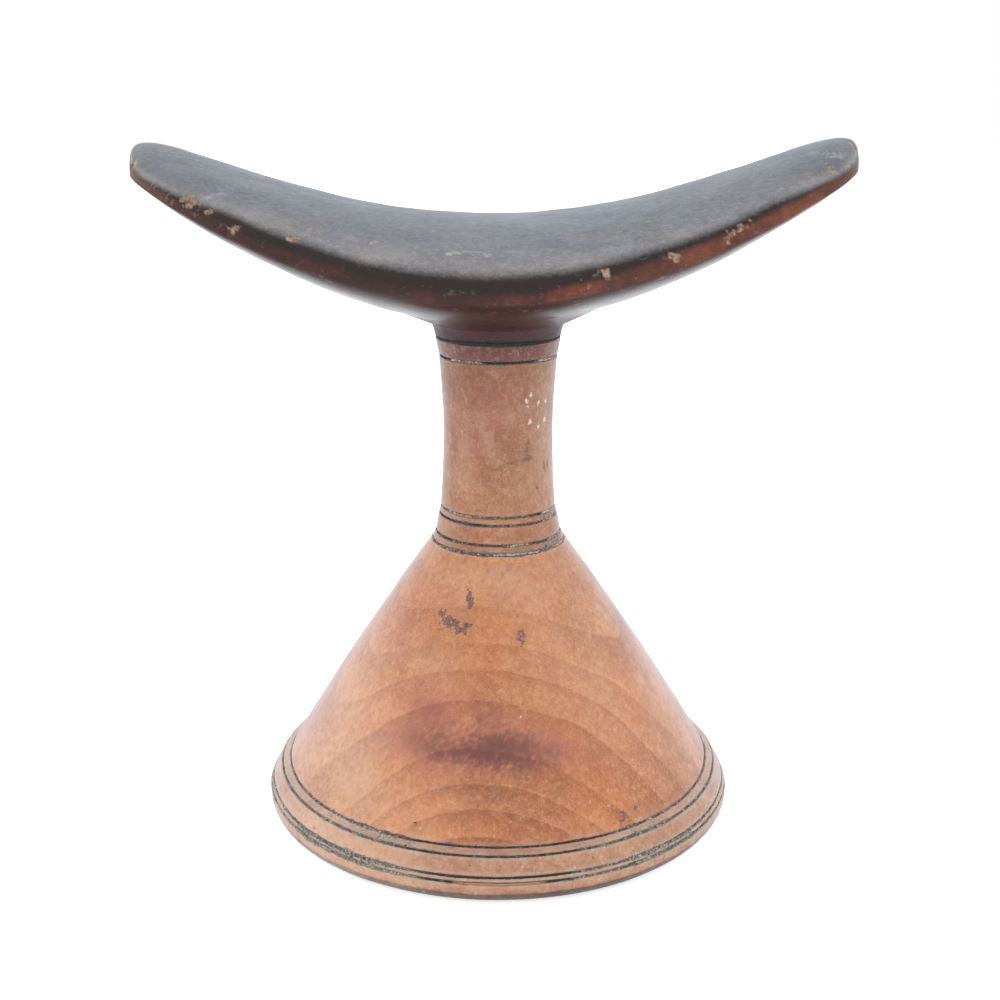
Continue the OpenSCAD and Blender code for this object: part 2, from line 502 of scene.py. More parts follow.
@dataclass(frozen=True)
class WoodFinish:
    """Handled light wood: the column, the cone and the rim."""

    name: str
    pale: Color
    rich: Color
    handled: Color
    flush_and_shade: Color
    stain: Color = (0.15, 0.038, 0.036)
    wash: Color = (0.43, 0.128, 0.112)
    crust_dark: Color = (0.06, 0.05, 0.047)
    crust_pale: Color = (0.46, 0.39, 0.31)
    light: Color = (0.95, 0.72, 0.58)
    pore: Color = (0.15, 0.06, 0.035)
    speck: Color = (0.20, 0.085, 0.055)
    glint: Color = (0.88, 0.68, 0.54)
    scuff: Color = (0.90, 0.68, 0.54)
    fresh: Color = (0.60, 0.38, 0.24)
    bleached_and_lit: Color = (0.87, 0.58, 0.40)
    grime_and_shade: Color = (0.17, 0.065, 0.03)
    dust: Color = (0.60, 0.50, 0.43)
    lime: Color = (0.80, 0.74, 0.68)
    deep_tint: Color = (0.66, 0.54, 0.47)
    warm_tint: Color = (1.04, 0.88, 0.70)
    cool_tint: Color = (0.84, 0.74, 0.80)
    ring_strength: float = 0.6
    ring_spacing: float = 0.0046
    cloudiness: float = 0.38
    handled_from: float = 0.066
    handled_to: float = 0.120
    specks: float = 0.35
    roughness: float = 0.40
    coat: float = 0.5
    coat_roughness: float = 0.28
    ior: float = 1.42
    sheen: float = 0.57
    sheen_roughness: float = 0.32
    sheen_tint: Color = (0.68, 0.81, 1.0)

    def build(self, effects: Effects) -> bpy.types.Material:
        """Builds the material.

        Args:
            effects: The shared node groups.

        Returns:
            The finished material.
        """
        material = bpy.data.materials.new(self.name)
        material.use_nodes = True
        kit = ShaderKit(material.node_tree)
        place = kit.node("TexCoord").outputs["Object"]
        rings = kit.group(effects.rings, Vector=place, Spacing=self.ring_spacing)
        fibre = kit.group(effects.fibre, Vector=place)
        cloud = kit.group(effects.patches, Vector=place, Scale=38.0, Low=0.38, High=0.66).outputs[0]
        mottle = kit.group(effects.patches, Vector=place, Scale=190.0, Low=0.42, High=0.70).outputs[0]
        bruise = kit.group(effects.patches, Vector=kit.scaled(place, (1.0, 1.0, 1.4)),
                           Scale=75.0, Low=0.56, High=0.72).outputs[0]
        color = self.wood_color(kit, rings, cloud, bruise, place)
        color = self.fine_color(kit, effects, color, fibre, mottle, place)
        color = self.soaked_color(kit, color, rings, place)
        color, crust = self.crusted_color(kit, effects, color, place)
        shader = kit.node("BsdfPrincipled")
        kit.feed(shader.inputs["Base Color"], color)
        rough = kit.plus(self.roughness, kit.times(mottle, 0.10), kit.times(crust.outputs["Mask"], 0.35))
        kit.feed(shader.inputs["Roughness"], kit.plus(rough, kit.times(kit.layer(Layer.BARE), 0.2)))
        kit.feed(shader.inputs["Coat Weight"], kit.times(kit.rest(crust.outputs["Mask"]), self.coat))
        kit.feed(shader.inputs["Coat Roughness"], self.coat_roughness)
        kit.feed(shader.inputs["IOR"], self.ior)
        kit.feed(shader.inputs["Sheen Weight"], self.sheen)
        kit.feed(shader.inputs["Sheen Roughness"], self.sheen_roughness)
        kit.feed(shader.inputs["Sheen Tint"], self.sheen_tint)
        height = kit.plus(kit.times(fibre.outputs["Fibre"], 0.5), kit.times(crust.outputs["Height"], 1.3),
                          kit.times(kit.noise(place, 320.0, 4.0, 0.6), 0.5))
        kit.feed(shader.inputs["Normal"], kit.bump(height, 0.16))
        kit.feed(kit.node("OutputMaterial").inputs["Surface"], shader.outputs[0])
        return material

    def wood_color(self, kit: ShaderKit, rings: bpy.types.Node, cloud: Socket, bruise: Socket,
                   place: Socket) -> Socket:
        """Mixes the wood's own colour: rings, clouds and the darkening of hands.

        Args:
            kit: The material's kit.
            rings: The growth rings.
            cloud: Broad soft patches.
            bruise: Smaller brown patches.
            place: The Object coordinates.

        Returns:
            The colour.
        """
        height = kit.axes(place)[2]
        low = kit.rest(kit.smooth(height, 0.040, 0.060))
        shown = kit.times(kit.smooth(kit.noise(place, 70.0, 4.0, 0.6), 0.20, 0.52), self.ring_strength,
                          kit.plus(0.30, kit.times(low, 0.70)))
        color = kit.mix(kit.plus(kit.times(rings.outputs["Rings"], shown), 0.10), self.pale, self.rich)
        color = kit.mix(kit.times(rings.outputs["Edge"], shown, 0.45), color, self.pale)
        color = kit.mix(kit.times(cloud, self.cloudiness), color, self.rich)
        color = kit.mix(kit.times(bruise, 0.30), color, self.handled)
        drawn = (1.0, 1.0, 0.6)
        warm = kit.smooth(kit.noise(kit.scaled(place, drawn, (0.3, 0.0, 0.9)), 62.0, 4.0, 0.6), 0.48, 0.66)
        color = kit.tinted(kit.times(warm, 0.6), color, self.warm_tint)
        cool = kit.smooth(kit.noise(kit.scaled(place, drawn, (0.0, 0.5, 0.2)), 58.0, 4.0, 0.6), 0.50, 0.68)
        color = kit.tinted(kit.times(cool, 0.6), color, self.cool_tint)
        uneven = kit.plus(height, kit.around(kit.noise(place, 45.0, 3.0), 0.03))
        dark = kit.smooth(uneven, self.handled_from, self.handled_to)
        color = kit.mix(kit.times(dark, 0.8), color, self.handled)
        # Red darkening near the headplate; at the foot's bottom edge the same layer paints a shadow.
        return kit.mix(kit.layer(Layer.FLUSH_AND_SHADE), color, self.flush_and_shade)

    def fine_color(self, kit: ShaderKit, effects: Effects, color: Socket, fibre: bpy.types.Node,
                   mottle: Socket, place: Socket) -> Socket:
        """Adds the fibre, pores, specks and rubs.

        Args:
            kit: The material's kit.
            effects: The shared node groups.
            color: The colour so far.
            fibre: The fine fibre.
            mottle: Small patches.
            place: The Object coordinates.

        Returns:
            The colour with its fine detail.
        """
        deep = kit.tinted(1.0, color, self.deep_tint)
        light = kit.mix(0.38, color, self.light)
        color = kit.toned(fibre.outputs["Fibre"], color, (0.49, 0.64, 0.62, deep), (0.50, 0.36, 0.50, light))
        color = kit.mix(kit.times(mottle, 0.32), color, deep)
        blots = kit.noise(place, 430.0, 4.0, 0.65)
        color = kit.toned(blots, color, (0.48, 0.66, 0.22, deep), (0.48, 0.34, 0.18, light))
        color = kit.mix(kit.times(fibre.outputs["Pores"], mottle, 0.5), color, self.pore)
        dots = kit.group(effects.flecks, Vector=place, Scale=1100.0, Share=0.09).outputs[0]
        color = kit.mix(kit.times(dots, self.specks), color, self.speck)
        low = kit.rest(kit.smooth(kit.axes(place)[2], 0.012, 0.030))
        glints = kit.group(effects.flecks, Vector=kit.scaled(place, (1.0, 1.0, 1.0), (0.4, 0.2, 0.0)),
                           Scale=1300.0, Share=kit.plus(0.02, kit.times(low, 0.10))).outputs[0]
        color = kit.mix(kit.times(glints, low, 0.40), color, self.glint)
        rubs = kit.group(effects.scuffs, Vector=place, Amount=0.06).outputs[0]
        color = kit.mix(rubs, color, self.scuff)
        return kit.mix(kit.smooth(kit.layer(Layer.BARE), 0.25, 0.7), color, self.fresh)

    def soaked_color(self, kit: ShaderKit, color: Socket, rings: bpy.types.Node, place: Socket) -> Socket:
        """Adds the stain that has soaked into the wood, pale patches that are partly painted light, brown
        dirt with the painted shadow at the foot's edge, and the dust by the lines.

        Args:
            kit: The material's kit.
            color: The colour so far.
            rings: The growth rings, which take the stain unevenly.
            place: The Object coordinates.

        Returns:
            The stained colour.
        """
        soak = kit.layer(Layer.STAIN)
        uneven = kit.plus(soak, kit.around(kit.noise(place, 150.0, 6.0, 0.65), 0.55),
                          kit.around(rings.outputs["Rings"], 0.16))
        soaked = kit.times(kit.smooth(uneven, -0.10, 0.95), kit.smooth(soak, 0.0, 0.25))
        tone = kit.mix(kit.smooth(uneven, 0.25, 0.95), self.wash, self.stain)
        color = kit.mix(kit.times(soaked, 0.92), color, tone)
        patchy = kit.smooth(kit.noise(place, 380.0, 4.0, 0.65), 0.25, 0.65)
        # Pale patches: faded wood, and on the left flank painted light.
        pale = kit.times(kit.layer(Layer.PALE_AND_LIT), kit.plus(0.65, kit.times(patchy, 0.35)))
        color = kit.mix(pale, color, self.bleached_and_lit)
        fibres = kit.smooth(kit.noise(kit.scaled(place, (1.0, 1.0, 1.6)), 520.0, 4.0, 0.7), 0.30, 0.62)
        # Brown dirt; along the foot's bottom edge the same layer paints a shadow.
        color = kit.mix(kit.times(kit.layer(Layer.GRIME_AND_SHADE), fibres, 0.85), color, self.grime_and_shade)
        return kit.mix(kit.times(kit.layer(Layer.DUST), patchy, 0.75), color, self.dust)

    def crusted_color(self, kit: ShaderKit, effects: Effects, color: Socket,
                      place: Socket) -> tuple[Socket, bpy.types.Node]:
        """Adds the dark crust and the white flecks.

        Args:
            kit: The material's kit.
            effects: The shared node groups.
            color: The colour so far.
            place: The Object coordinates.

        Returns:
            The colour, and the crust's node.
        """
        crust = kit.group(effects.deposit, Vector=place, Amount=kit.layer(Layer.DEPOSIT), Grit=1300.0)
        shade = kit.times(crust.outputs["Shade"], kit.rest(kit.layer(Layer.FLUSH_AND_SHADE)))
        crust_color = kit.mix(shade, self.crust_dark, self.crust_pale)
        color = kit.mix(crust.outputs["Mask"], color, crust_color)
        lime = kit.plus(kit.layer(Layer.WHITE), kit.around(kit.noise(place, 1900.0, 3.0, 0.6), 0.9))
        return kit.mix(kit.times(kit.smooth(lime, 0.42, 0.62), 0.8), color, self.lime), crust


@dataclass(frozen=True)
class PatinaFinish:
    """Dark polished patina of the headplate, worn red along its edges, with a grey top that is partly dust
    and partly a painted sheen.
    """

    name: str
    dark: Color
    # The top's two colours: partly dust, partly a painted sheen.
    top_dust_and_sheen: Color
    crest_dust_and_sheen: Color
    worn: Color
    ember: Color
    under: Color
    boss: Color
    chip_dark: Color = (0.20, 0.11, 0.065)
    chip_pale: Color = (0.48, 0.36, 0.26)
    crust: Color = (0.02, 0.017, 0.018)
    speck: Color = (0.30, 0.26, 0.21)
    scuff: Color = (0.36, 0.35, 0.34)
    rubbed: Color = (0.50, 0.48, 0.45)
    deep_tint: Color = (0.60, 0.57, 0.57)
    light_tint: Color = (1.65, 1.56, 1.48)
    warm_tint: Color = (1.10, 1.0, 0.88)
    roughness: float = 0.48
    coat: float = 0.06
    coat_below: float = 0.50
    coat_roughness: float = 0.16
    ior: float = 1.40

    def build(self, effects: Effects) -> bpy.types.Material:
        """Builds the material.

        Args:
            effects: The shared node groups.

        Returns:
            The finished material.
        """
        material = bpy.data.materials.new(self.name)
        material.use_nodes = True
        kit = ShaderKit(material.node_tree)
        place = kit.node("TexCoord").outputs["Object"]
        fibre = kit.group(effects.fibre, Vector=kit.scaled(place, (0.7, 1.0, 1.3)))
        cloud = kit.group(effects.patches, Vector=place, Scale=95.0, Low=0.40, High=0.66).outputs[0]
        color = self.zone_color(kit, place, cloud)
        color = self.worn_color(kit, effects, color, fibre, place)
        bare = kit.layer(Layer.BARE)
        chip = kit.smooth(kit.plus(bare, kit.around(kit.noise(place, 1100.0, 4.0, 0.7), 1.0)), 0.25, 0.95)
        grain = kit.smooth(kit.noise(place, 900.0, 3.0, 0.6), 0.35, 0.65)
        color = kit.mix(chip, color, kit.mix(grain, self.chip_dark, self.chip_pale))
        crust = kit.group(effects.deposit, Vector=place, Amount=kit.layer(Layer.DEPOSIT), Grit=1300.0)
        color = kit.mix(crust.outputs["Mask"], color, self.crust)
        shader = kit.node("BsdfPrincipled")
        kit.feed(shader.inputs["Base Color"], color)
        below = kit.rest(kit.smooth(kit.layer(Layer.RISE), -0.70, -0.30))
        aside = kit.smooth(kit.math("ABSOLUTE", kit.axes(place)[0]), 0.004, 0.021)
        polish = kit.times(below, kit.plus(0.10, kit.times(aside, 0.90)))
        rough = kit.plus(self.roughness, kit.times(cloud, 0.08), kit.times(chip, 0.3),
                         kit.times(polish, -0.2))
        kit.feed(shader.inputs["Roughness"], rough)
        coat = kit.times(kit.rest(chip), kit.plus(self.coat, kit.times(polish, self.coat_below)))
        kit.feed(shader.inputs["Coat Weight"], coat)
        kit.feed(shader.inputs["Coat Roughness"], self.coat_roughness)
        kit.feed(shader.inputs["IOR"], self.ior)
        lumps = kit.noise(place, 260.0, 4.0, 0.6)
        height = kit.plus(kit.times(fibre.outputs["Fibre"], 0.5), kit.times(lumps, 0.6))
        kit.feed(shader.inputs["Normal"], kit.bump(height, 0.16))
        kit.feed(kit.node("OutputMaterial").inputs["Surface"], shader.outputs[0])
        return material

    def zone_color(self, kit: ShaderKit, place: Socket, cloud: Socket) -> Socket:
        """Lays out the top, the dark shoulder line, the red edge and the underside. The top's light
        blue-grey is partly dust and partly a painted sheen on the upward faces, eased darker towards the
        ridge.

        Args:
            kit: The material's kit.
            place: The Object coordinates.
            cloud: Soft patches.

        Returns:
            The colour of each zone.
        """
        sway = kit.around(kit.noise(place, 60.0, 4.0, 0.6), 0.16)
        fray = kit.around(kit.noise(place, 1500.0, 3.0, 0.7), 0.10)
        x = kit.axes(place)[0]
        away = kit.math("ABSOLUTE", x)
        tip = kit.smooth(away, 0.055, 0.078)
        level = kit.plus(kit.layer(Layer.RISE), sway, fray, kit.times(tip, 0.34))
        outward = kit.smooth(kit.plus(x, kit.around(cloud, 0.02)), 0.0, 0.034)
        broad = kit.noise(kit.scaled(place, (0.5, 1.0, 1.0)), 80.0, 3.0, 0.6)
        glow = kit.smooth(kit.plus(broad, kit.around(kit.noise(place, 420.0, 4.0, 0.7), 0.5)), 0.36, 0.66)
        warm = kit.times(kit.math("MAXIMUM", outward, tip), kit.plus(0.35, kit.times(glow, 0.65)))
        edge = kit.mix(kit.plus(0.25, kit.times(glow, 0.75)), self.dark, self.worn)
        edge = kit.mix(warm, edge, self.ember)
        color = kit.mix(kit.smooth(level, -0.62, -0.30), self.under, edge)
        aside = kit.smooth(away, 0.006, 0.034)
        narrow = kit.plus(0.30, kit.times(tip, 0.28), kit.times(outward, 0.10), kit.times(aside, 0.14))
        color = kit.mix(kit.smooth(level, kit.math("SUBTRACT", narrow, 0.26), narrow), color, self.dark)
        # Painted sheen and dust: upward faces get a light blue-grey, easing to a darker grey-blue towards
        # the ridge.
        top = kit.mix(kit.smooth(level, 0.72, 0.98), self.top_dust_and_sheen, self.crest_dust_and_sheen)
        color = kit.mix(kit.smooth(level, 0.53, 0.76), color, top)
        return kit.mix(kit.layer(Layer.FLUSH_AND_SHADE), color, self.boss)

    def worn_color(self, kit: ShaderKit, effects: Effects, color: Socket, fibre: bpy.types.Node,
                   place: Socket) -> Socket:
        """Adds the fibre, blots, light specks and rubs.

        Args:
            kit: The material's kit.
            effects: The shared node groups.
            color: The colour so far.
            fibre: The fine fibre.
            place: The Object coordinates.

        Returns:
            The colour with its fine detail.
        """
        deep = kit.tinted(1.0, color, self.deep_tint)
        light = kit.tinted(1.0, color, self.light_tint)
        color = kit.toned(fibre.outputs["Fibre"], color, (0.49, 0.64, 0.55, deep), (0.49, 0.36, 0.60, light))
        blots = kit.noise(kit.scaled(place, (0.6, 1.0, 1.0)), 300.0, 5.0, 0.7)
        color = kit.toned(blots, color, (0.50, 0.66, 0.30, deep), (0.48, 0.34, 0.24, light))
        drawn = kit.scaled(place, (0.4, 1.0, 1.0))
        warm = kit.smooth(kit.noise(drawn, 110.0, 5.0, 0.65), 0.40, 0.60)
        color = kit.tinted(kit.times(warm, 0.55), color, self.warm_tint)
        haze = kit.group(effects.patches, Vector=drawn, Scale=90.0, Low=0.46, High=0.68).outputs[0]
        color = kit.mix(kit.times(haze, 0.35), color, light)
        dots = kit.group(effects.flecks, Vector=place, Scale=1100.0, Share=0.12).outputs[0]
        color = kit.mix(kit.times(dots, haze, 0.4), color, self.speck)
        rubs = kit.group(effects.scuffs, Vector=kit.scaled(place, (0.12, 1.2, 1.2)), Amount=0.22).outputs[0]
        color = kit.mix(rubs, color, self.scuff)
        rubbed = kit.plus(kit.layer(Layer.WHITE), kit.around(kit.noise(place, 620.0, 4.0, 0.7), 0.8))
        return kit.mix(kit.times(kit.smooth(rubbed, 0.25, 0.95), 0.75), color, self.rubbed)


@dataclass(frozen=True)
class ResidueFinish:
    """Dust and old oil packed in the incised lines."""

    name: str
    dark: Color
    ash: Color
    chalk: Color
    wood: Color

    def build(self, effects: Effects) -> bpy.types.Material:
        """Builds the material.

        Args:
            effects: The shared node groups.

        Returns:
            The finished material.
        """
        material = bpy.data.materials.new(self.name)
        material.use_nodes = True
        kit = ShaderKit(material.node_tree)
        place = kit.node("TexCoord").outputs["Object"]
        dust = kit.plus(kit.layer(Layer.DUST), kit.around(kit.noise(place, 150.0, 3.0, 0.6), 0.5))
        grit = kit.noise(place, 2000.0, 3.0, 0.7)
        lumps = kit.noise(place, 750.0, 4.0, 0.7)
        light = kit.smooth(kit.plus(dust, kit.around(grit, 1.6), kit.around(lumps, 1.2)), 0.15, 0.80)
        pale = kit.smooth(kit.plus(dust, kit.around(grit, 2.2), kit.around(lumps, 1.0)), 0.66, 1.02)
        color = kit.mix(light, self.dark, self.ash)
        color = kit.mix(pale, color, self.chalk)
        flecks = kit.group(effects.flecks, Vector=place, Scale=900.0, Share=0.2).outputs[0]
        color = kit.mix(kit.times(flecks, 0.6), color, self.ash)
        gone = kit.plus(kit.layer(Layer.BARE), kit.around(kit.noise(place, 500.0, 3.0, 0.6), 1.2))
        color = kit.mix(kit.smooth(gone, 0.35, 0.75), color, self.wood)
        shader = kit.node("BsdfPrincipled")
        kit.feed(shader.inputs["Base Color"], color)
        kit.feed(shader.inputs["Roughness"], kit.plus(0.78, kit.times(grit, 0.2)))
        shader.inputs["IOR"].default_value = 1.4
        kit.feed(shader.inputs["Normal"], kit.bump(grit, 0.14, 0.7))
        kit.feed(kit.node("OutputMaterial").inputs["Surface"], shader.outputs[0])
        return material


# ---------------------------------------------------------------- turned parts


@dataclass(frozen=True)
class Stretch:
    """A stretch of the way round, with an amount of something.

    The start and stop are bearings from the front, in degrees, positive
    towards +X.
    """

    start: float
    stop: float
    amount: float

    def at(self, bearing: float) -> float:
        """Gives the amount at a bearing, easing off at both ends."""
        rise = ease(self.start - END_EASE, self.start + END_EASE, bearing)
        return self.amount * rise * ease(self.stop + END_EASE, self.stop - END_EASE, bearing)


ALL_ROUND = (-190.0, 190.0)


def stretches(*rows: tuple[float, float, float]) -> tuple[Stretch, ...]:
    """Makes stretches from rows of start, stop and amount."""
    return tuple(Stretch(*row) for row in rows)


def amount_at(parts: tuple[Stretch, ...], bearing: float) -> float:
    """Adds up the amounts of several stretches at a bearing."""
    return sum(part.at(bearing) for part in parts)


@dataclass(frozen=True)
class IncisedLine:
    """One incised line: its place on the profile, and how residue lies in it.

    The radius and height are in millimetres. A smear's amount is how many
    millimetres further than its lip the residue reaches, dust's is how much
    of the residue is pale, and a gap's is how much of it is gone.
    """

    node: str
    radius: float
    height: float
    smears: tuple[Stretch, ...] = ()
    dust: tuple[Stretch, ...] = ()
    gaps: tuple[Stretch, ...] = ()

    @property
    def point(self) -> Vector:
        """The line's place as a 2-D point."""
        return Vector((self.radius, self.height))


@dataclass(frozen=True)
class Bridge:
    """Crust that covers the wood between two neighbouring lines."""

    section: str
    stretch: Stretch
    white: float = 0.0


LINES = (
    IncisedLine(
        "rim_low_fill", 55.4, 5.4,
        smears=stretches((-57, -25, 0.30), (26, 54, 0.25), (-105, -68, 0.2), (112, 150, 0.3)),
        dust=stretches((-100, -16, 0.70), (16, 100, 0.62), (-175, -120, 0.6), (110, 150, 0.5)),
        gaps=stretches((-9, 10, 1.0), (160, 176, 0.8))),
    IncisedLine(
        "rim_high_fill", 54.8, 6.5,
        smears=stretches((-56, -24, 0.28), (30, 55, 0.25), (-10, 18, -0.12), (112, 150, 0.2)),
        dust=stretches((-100, -16, 0.66), (16, 100, 0.62), (-170, -110, 0.5), (110, 150, 0.5))),
    IncisedLine(
        "shoulder_low_fill", 52.6, 10.3,
        smears=stretches((-46, -14, 0.18), (-14, 12, 0.06), (24, 46, 0.15), (130, 165, 0.2)),
        dust=stretches((-100, -26, 0.60), (-26, 22, 0.28), (22, 100, 0.58), (-160, -120, 0.5))),
    IncisedLine(
        "shoulder_high_fill", 50.7, 11.4,
        smears=stretches((-42, -20, 0.20), (26, 44, 0.10), (-165, -130, 0.2)),
        dust=stretches((-100, -24, 0.60), (-24, 26, 0.25), (26, 100, 0.56), (110, 150, 0.4))),
    IncisedLine(
        "ankle_1_fill", 15.6, 65.1,
        smears=stretches((*ALL_ROUND, 0.12), (-38, 38, 0.24)),
        dust=stretches((*ALL_ROUND, 0.62), (-4, 36, 0.25), (60, 120, 0.3))),
    IncisedLine(
        "ankle_2_fill", 14.7, 66.9,
        smears=stretches((*ALL_ROUND, 0.07)),
        dust=stretches((*ALL_ROUND, 0.38), (8, 30, 0.35), (50, 90, 0.4))),
    IncisedLine(
        "ankle_3_fill", 13.8, 71.3,
        smears=stretches((-62, -14, 0.12), (-180, -120, 0.1)),
        dust=stretches((-60, -14, 0.25), (-14, 48, 0.52), (48, 84, 0.8), (-170, -110, 0.4))),
    IncisedLine(
        "ankle_4_fill", 13.4, 73.0,
        smears=stretches((*ALL_ROUND, 0.04)),
        dust=stretches((-84, -16, 0.70), (-16, 40, 0.52), (48, 90, 0.85), (110, 180, 0.4)),
        gaps=stretches((-48, -24, 0.6), (-150, -120, 0.5))),
    IncisedLine(
        "collar_low_fill", 13.5, 108.3,
        smears=stretches((*ALL_ROUND, 0.05), (-20, 30, 0.08)),
        dust=stretches((-52, -14, 0.75), (40, 84, 0.85), (-160, -100, 0.5)),
        gaps=stretches((58, 84, 0.5))),
    IncisedLine(
        "collar_high_fill", 14.3, 112.6,
        smears=stretches((*ALL_ROUND, 0.05), (-38, 40, 0.42), (130, 180, 0.25))),
)

BRIDGES = (
    Bridge("rim_bead", Stretch(-56, -27, 0.62)),
    Bridge("rim_bead", Stretch(30, 52, 0.52)),
    Bridge("rim_bead", Stretch(-104, -72, 0.55)),
    Bridge("rim_bead", Stretch(116, 146, 0.60)),
    Bridge("rim_bead", Stretch(-170, -140, 0.60)),
    Bridge("shoulder", Stretch(-40, -18, 0.46)),
    Bridge("shoulder", Stretch(32, 48, 0.38)),
    Bridge("shoulder", Stretch(140, 165, 0.50)),
    Bridge("ankle_ring", Stretch(44, 78, 0.50), 0.55),
    Bridge("ankle_foot", Stretch(40, 74, 0.45), 0.55),
    Bridge("ankle_foot", Stretch(-150, -120, 0.40), 0.2),
)


@dataclass(frozen=True)
class TurnedProfile:
    """The round part's profile, from the foot up to the collar's edge."""

    foot_radius: float = 51.4
    foot_round: float = 3.6
    rim_radius: float = 55.5
    edge_radius: float = 14.7
    edge_height: float = 115.6
    line_width: float = 0.9
    line_depth: float = 0.5

    def knot(self, index: int) -> Vector:
        """Gives one of the profile's points: 0 is the rim and 1 to 10 are the lines."""
        if index == 0:
            return Vector((self.rim_radius, self.foot_round))
        if index > len(LINES):
            return Vector((self.edge_radius, self.edge_height))
        return LINES[index - 1].point

    def along(self, index: int) -> Vector:
        """Direction of the profile at a knot, halfway between its neighbours."""
        before, here, after = (self.knot(index + k) for k in (-1, 0, 1))
        return ((here - before).normalized() + (after - here).normalized()).normalized()

    def outward(self, index: int) -> Vector:
        """Direction that points squarely out of the profile at a knot."""
        way = self.along(index)
        return Vector((way.y, -way.x))

    def lip(self, index: int, side: float) -> Vector:
        """Edge of a line's V: side is -1 for the lower lip and 1 for the upper."""
        return self.knot(index) + self.along(index) * self.line_width / 2 * side

    def root(self, index: int) -> Vector:
        """Bottom of a line's V."""
        return self.knot(index) - self.outward(index) * self.line_depth

    def radius_at(self, height: float) -> float:
        """Radius of the surface at a height, in millimetres."""
        if height < self.foot_round:
            share = 1 - height / self.foot_round
            return self.foot_radius + (self.rim_radius - self.foot_radius) * math.sqrt(1 - share * share)
        index = next(k for k in range(1, len(LINES) + 2) if self.knot(k).y >= height or k > len(LINES))
        low, high = self.knot(index - 1), self.knot(index)
        return low.x + (high.x - low.x) * (height - low.y) / (high.y - low.y)

    def spot(self, bearing: float, height: float) -> Spot:
        """Finds a place on the surface.

        Args:
            bearing: Angle round the axis from the front, in degrees.
            height: Height, in millimetres.

        Returns:
            The place, with the surface's directions there.
        """
        turn, radius = math.radians(bearing), self.radius_at(height)
        rise = self.radius_at(height + 0.5) - radius
        out = Vector((math.sin(turn), -math.cos(turn), 0.0))
        centre = out * radius + Vector((0.0, 0.0, height))
        return Spot(centre * MM, Vector((math.cos(turn), math.sin(turn), 0.0)),
                    (out * rise + Vector((0.0, 0.0, 0.5))).normalized())


PROFILE = TurnedProfile()


def finish_piece(bm: bmesh.types.BMesh, name: str, node: str, material: bpy.types.Material,
                 sharp: float = 38.0) -> bpy.types.Object:
    """Turns a mesh into a piece of the object that stands for one CAD node.

    Args:
        bm: The finished mesh; it is freed.
        name: The piece's name.
        node: The CAD node that it replaces.
        material: Its finish.
        sharp: Faces that meet at more than this many degrees keep a crisp edge.

    Returns:
        The new object, riding on the body.
    """
    mesh = bpy.data.meshes.new(name)
    bm.to_mesh(mesh)
    bm.free()
    mesh.shade_smooth()
    mesh.set_sharp_from_angle(angle=math.radians(sharp))
    mesh.materials.append(material)
    piece = bpy.data.objects.new(name, mesh)
    bpy.context.scene.collection.objects.link(piece)
    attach(piece, BODY)
    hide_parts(node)
    low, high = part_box(node)
    log.info("%s: %d faces for a node %.1f mm high", name, len(mesh.polygons), (high[2] - low[2]) / MM)
    return piece


def spin_outline(points: Profile, steps: int, closed: bool = False) -> bmesh.types.BMesh:
    """Spins an outline round the Z axis into a closed mesh.

    Args:
        points: Radius and height of each point, in millimetres. An open
            outline runs from the axis out and back to the axis.
        steps: How many steps make the full turn, a multiple of the sectors.
        closed: Whether the last point joins the first.

    Returns:
        The mesh, with its normals pointing out.
    """
    bm = bmesh.new()
    verts = [bm.verts.new((r * MM, 0.0, z * MM)) for r, z in points]
    ends = verts[1:] + verts[:1] if closed else verts[1:]
    edges = [bm.edges.new(pair) for pair in zip(verts, ends)]
    sector = math.tau / SECTORS
    bmesh.ops.spin(bm, geom=verts + edges, cent=(0, 0, 0), axis=(0, 0, 1), dvec=(0, 0, 0),
                   angle=sector, steps=steps // SECTORS, use_merge=False, use_duplicate=False)
    bmesh.ops.spin(bm, geom=bm.verts[:] + bm.edges[:] + bm.faces[:], cent=(0, 0, 0), axis=(0, 0, 1),
                   dvec=(0, 0, 0), angle=math.tau - sector, steps=SECTORS - 1, use_merge=False,
                   use_duplicate=True)
    bmesh.ops.remove_doubles(bm, verts=bm.verts[:], dist=MERGE)
    bmesh.ops.recalc_face_normals(bm, faces=bm.faces[:])
    bm.normal_update()
    return bm


def hand_waver(co: Vector) -> float:
    """How far the carver's hand strayed from a true circle at a place, in millimetres."""
    return 0.16 * noise.noise(co * 70.0) + 0.05 * noise.noise(co * 210.0)


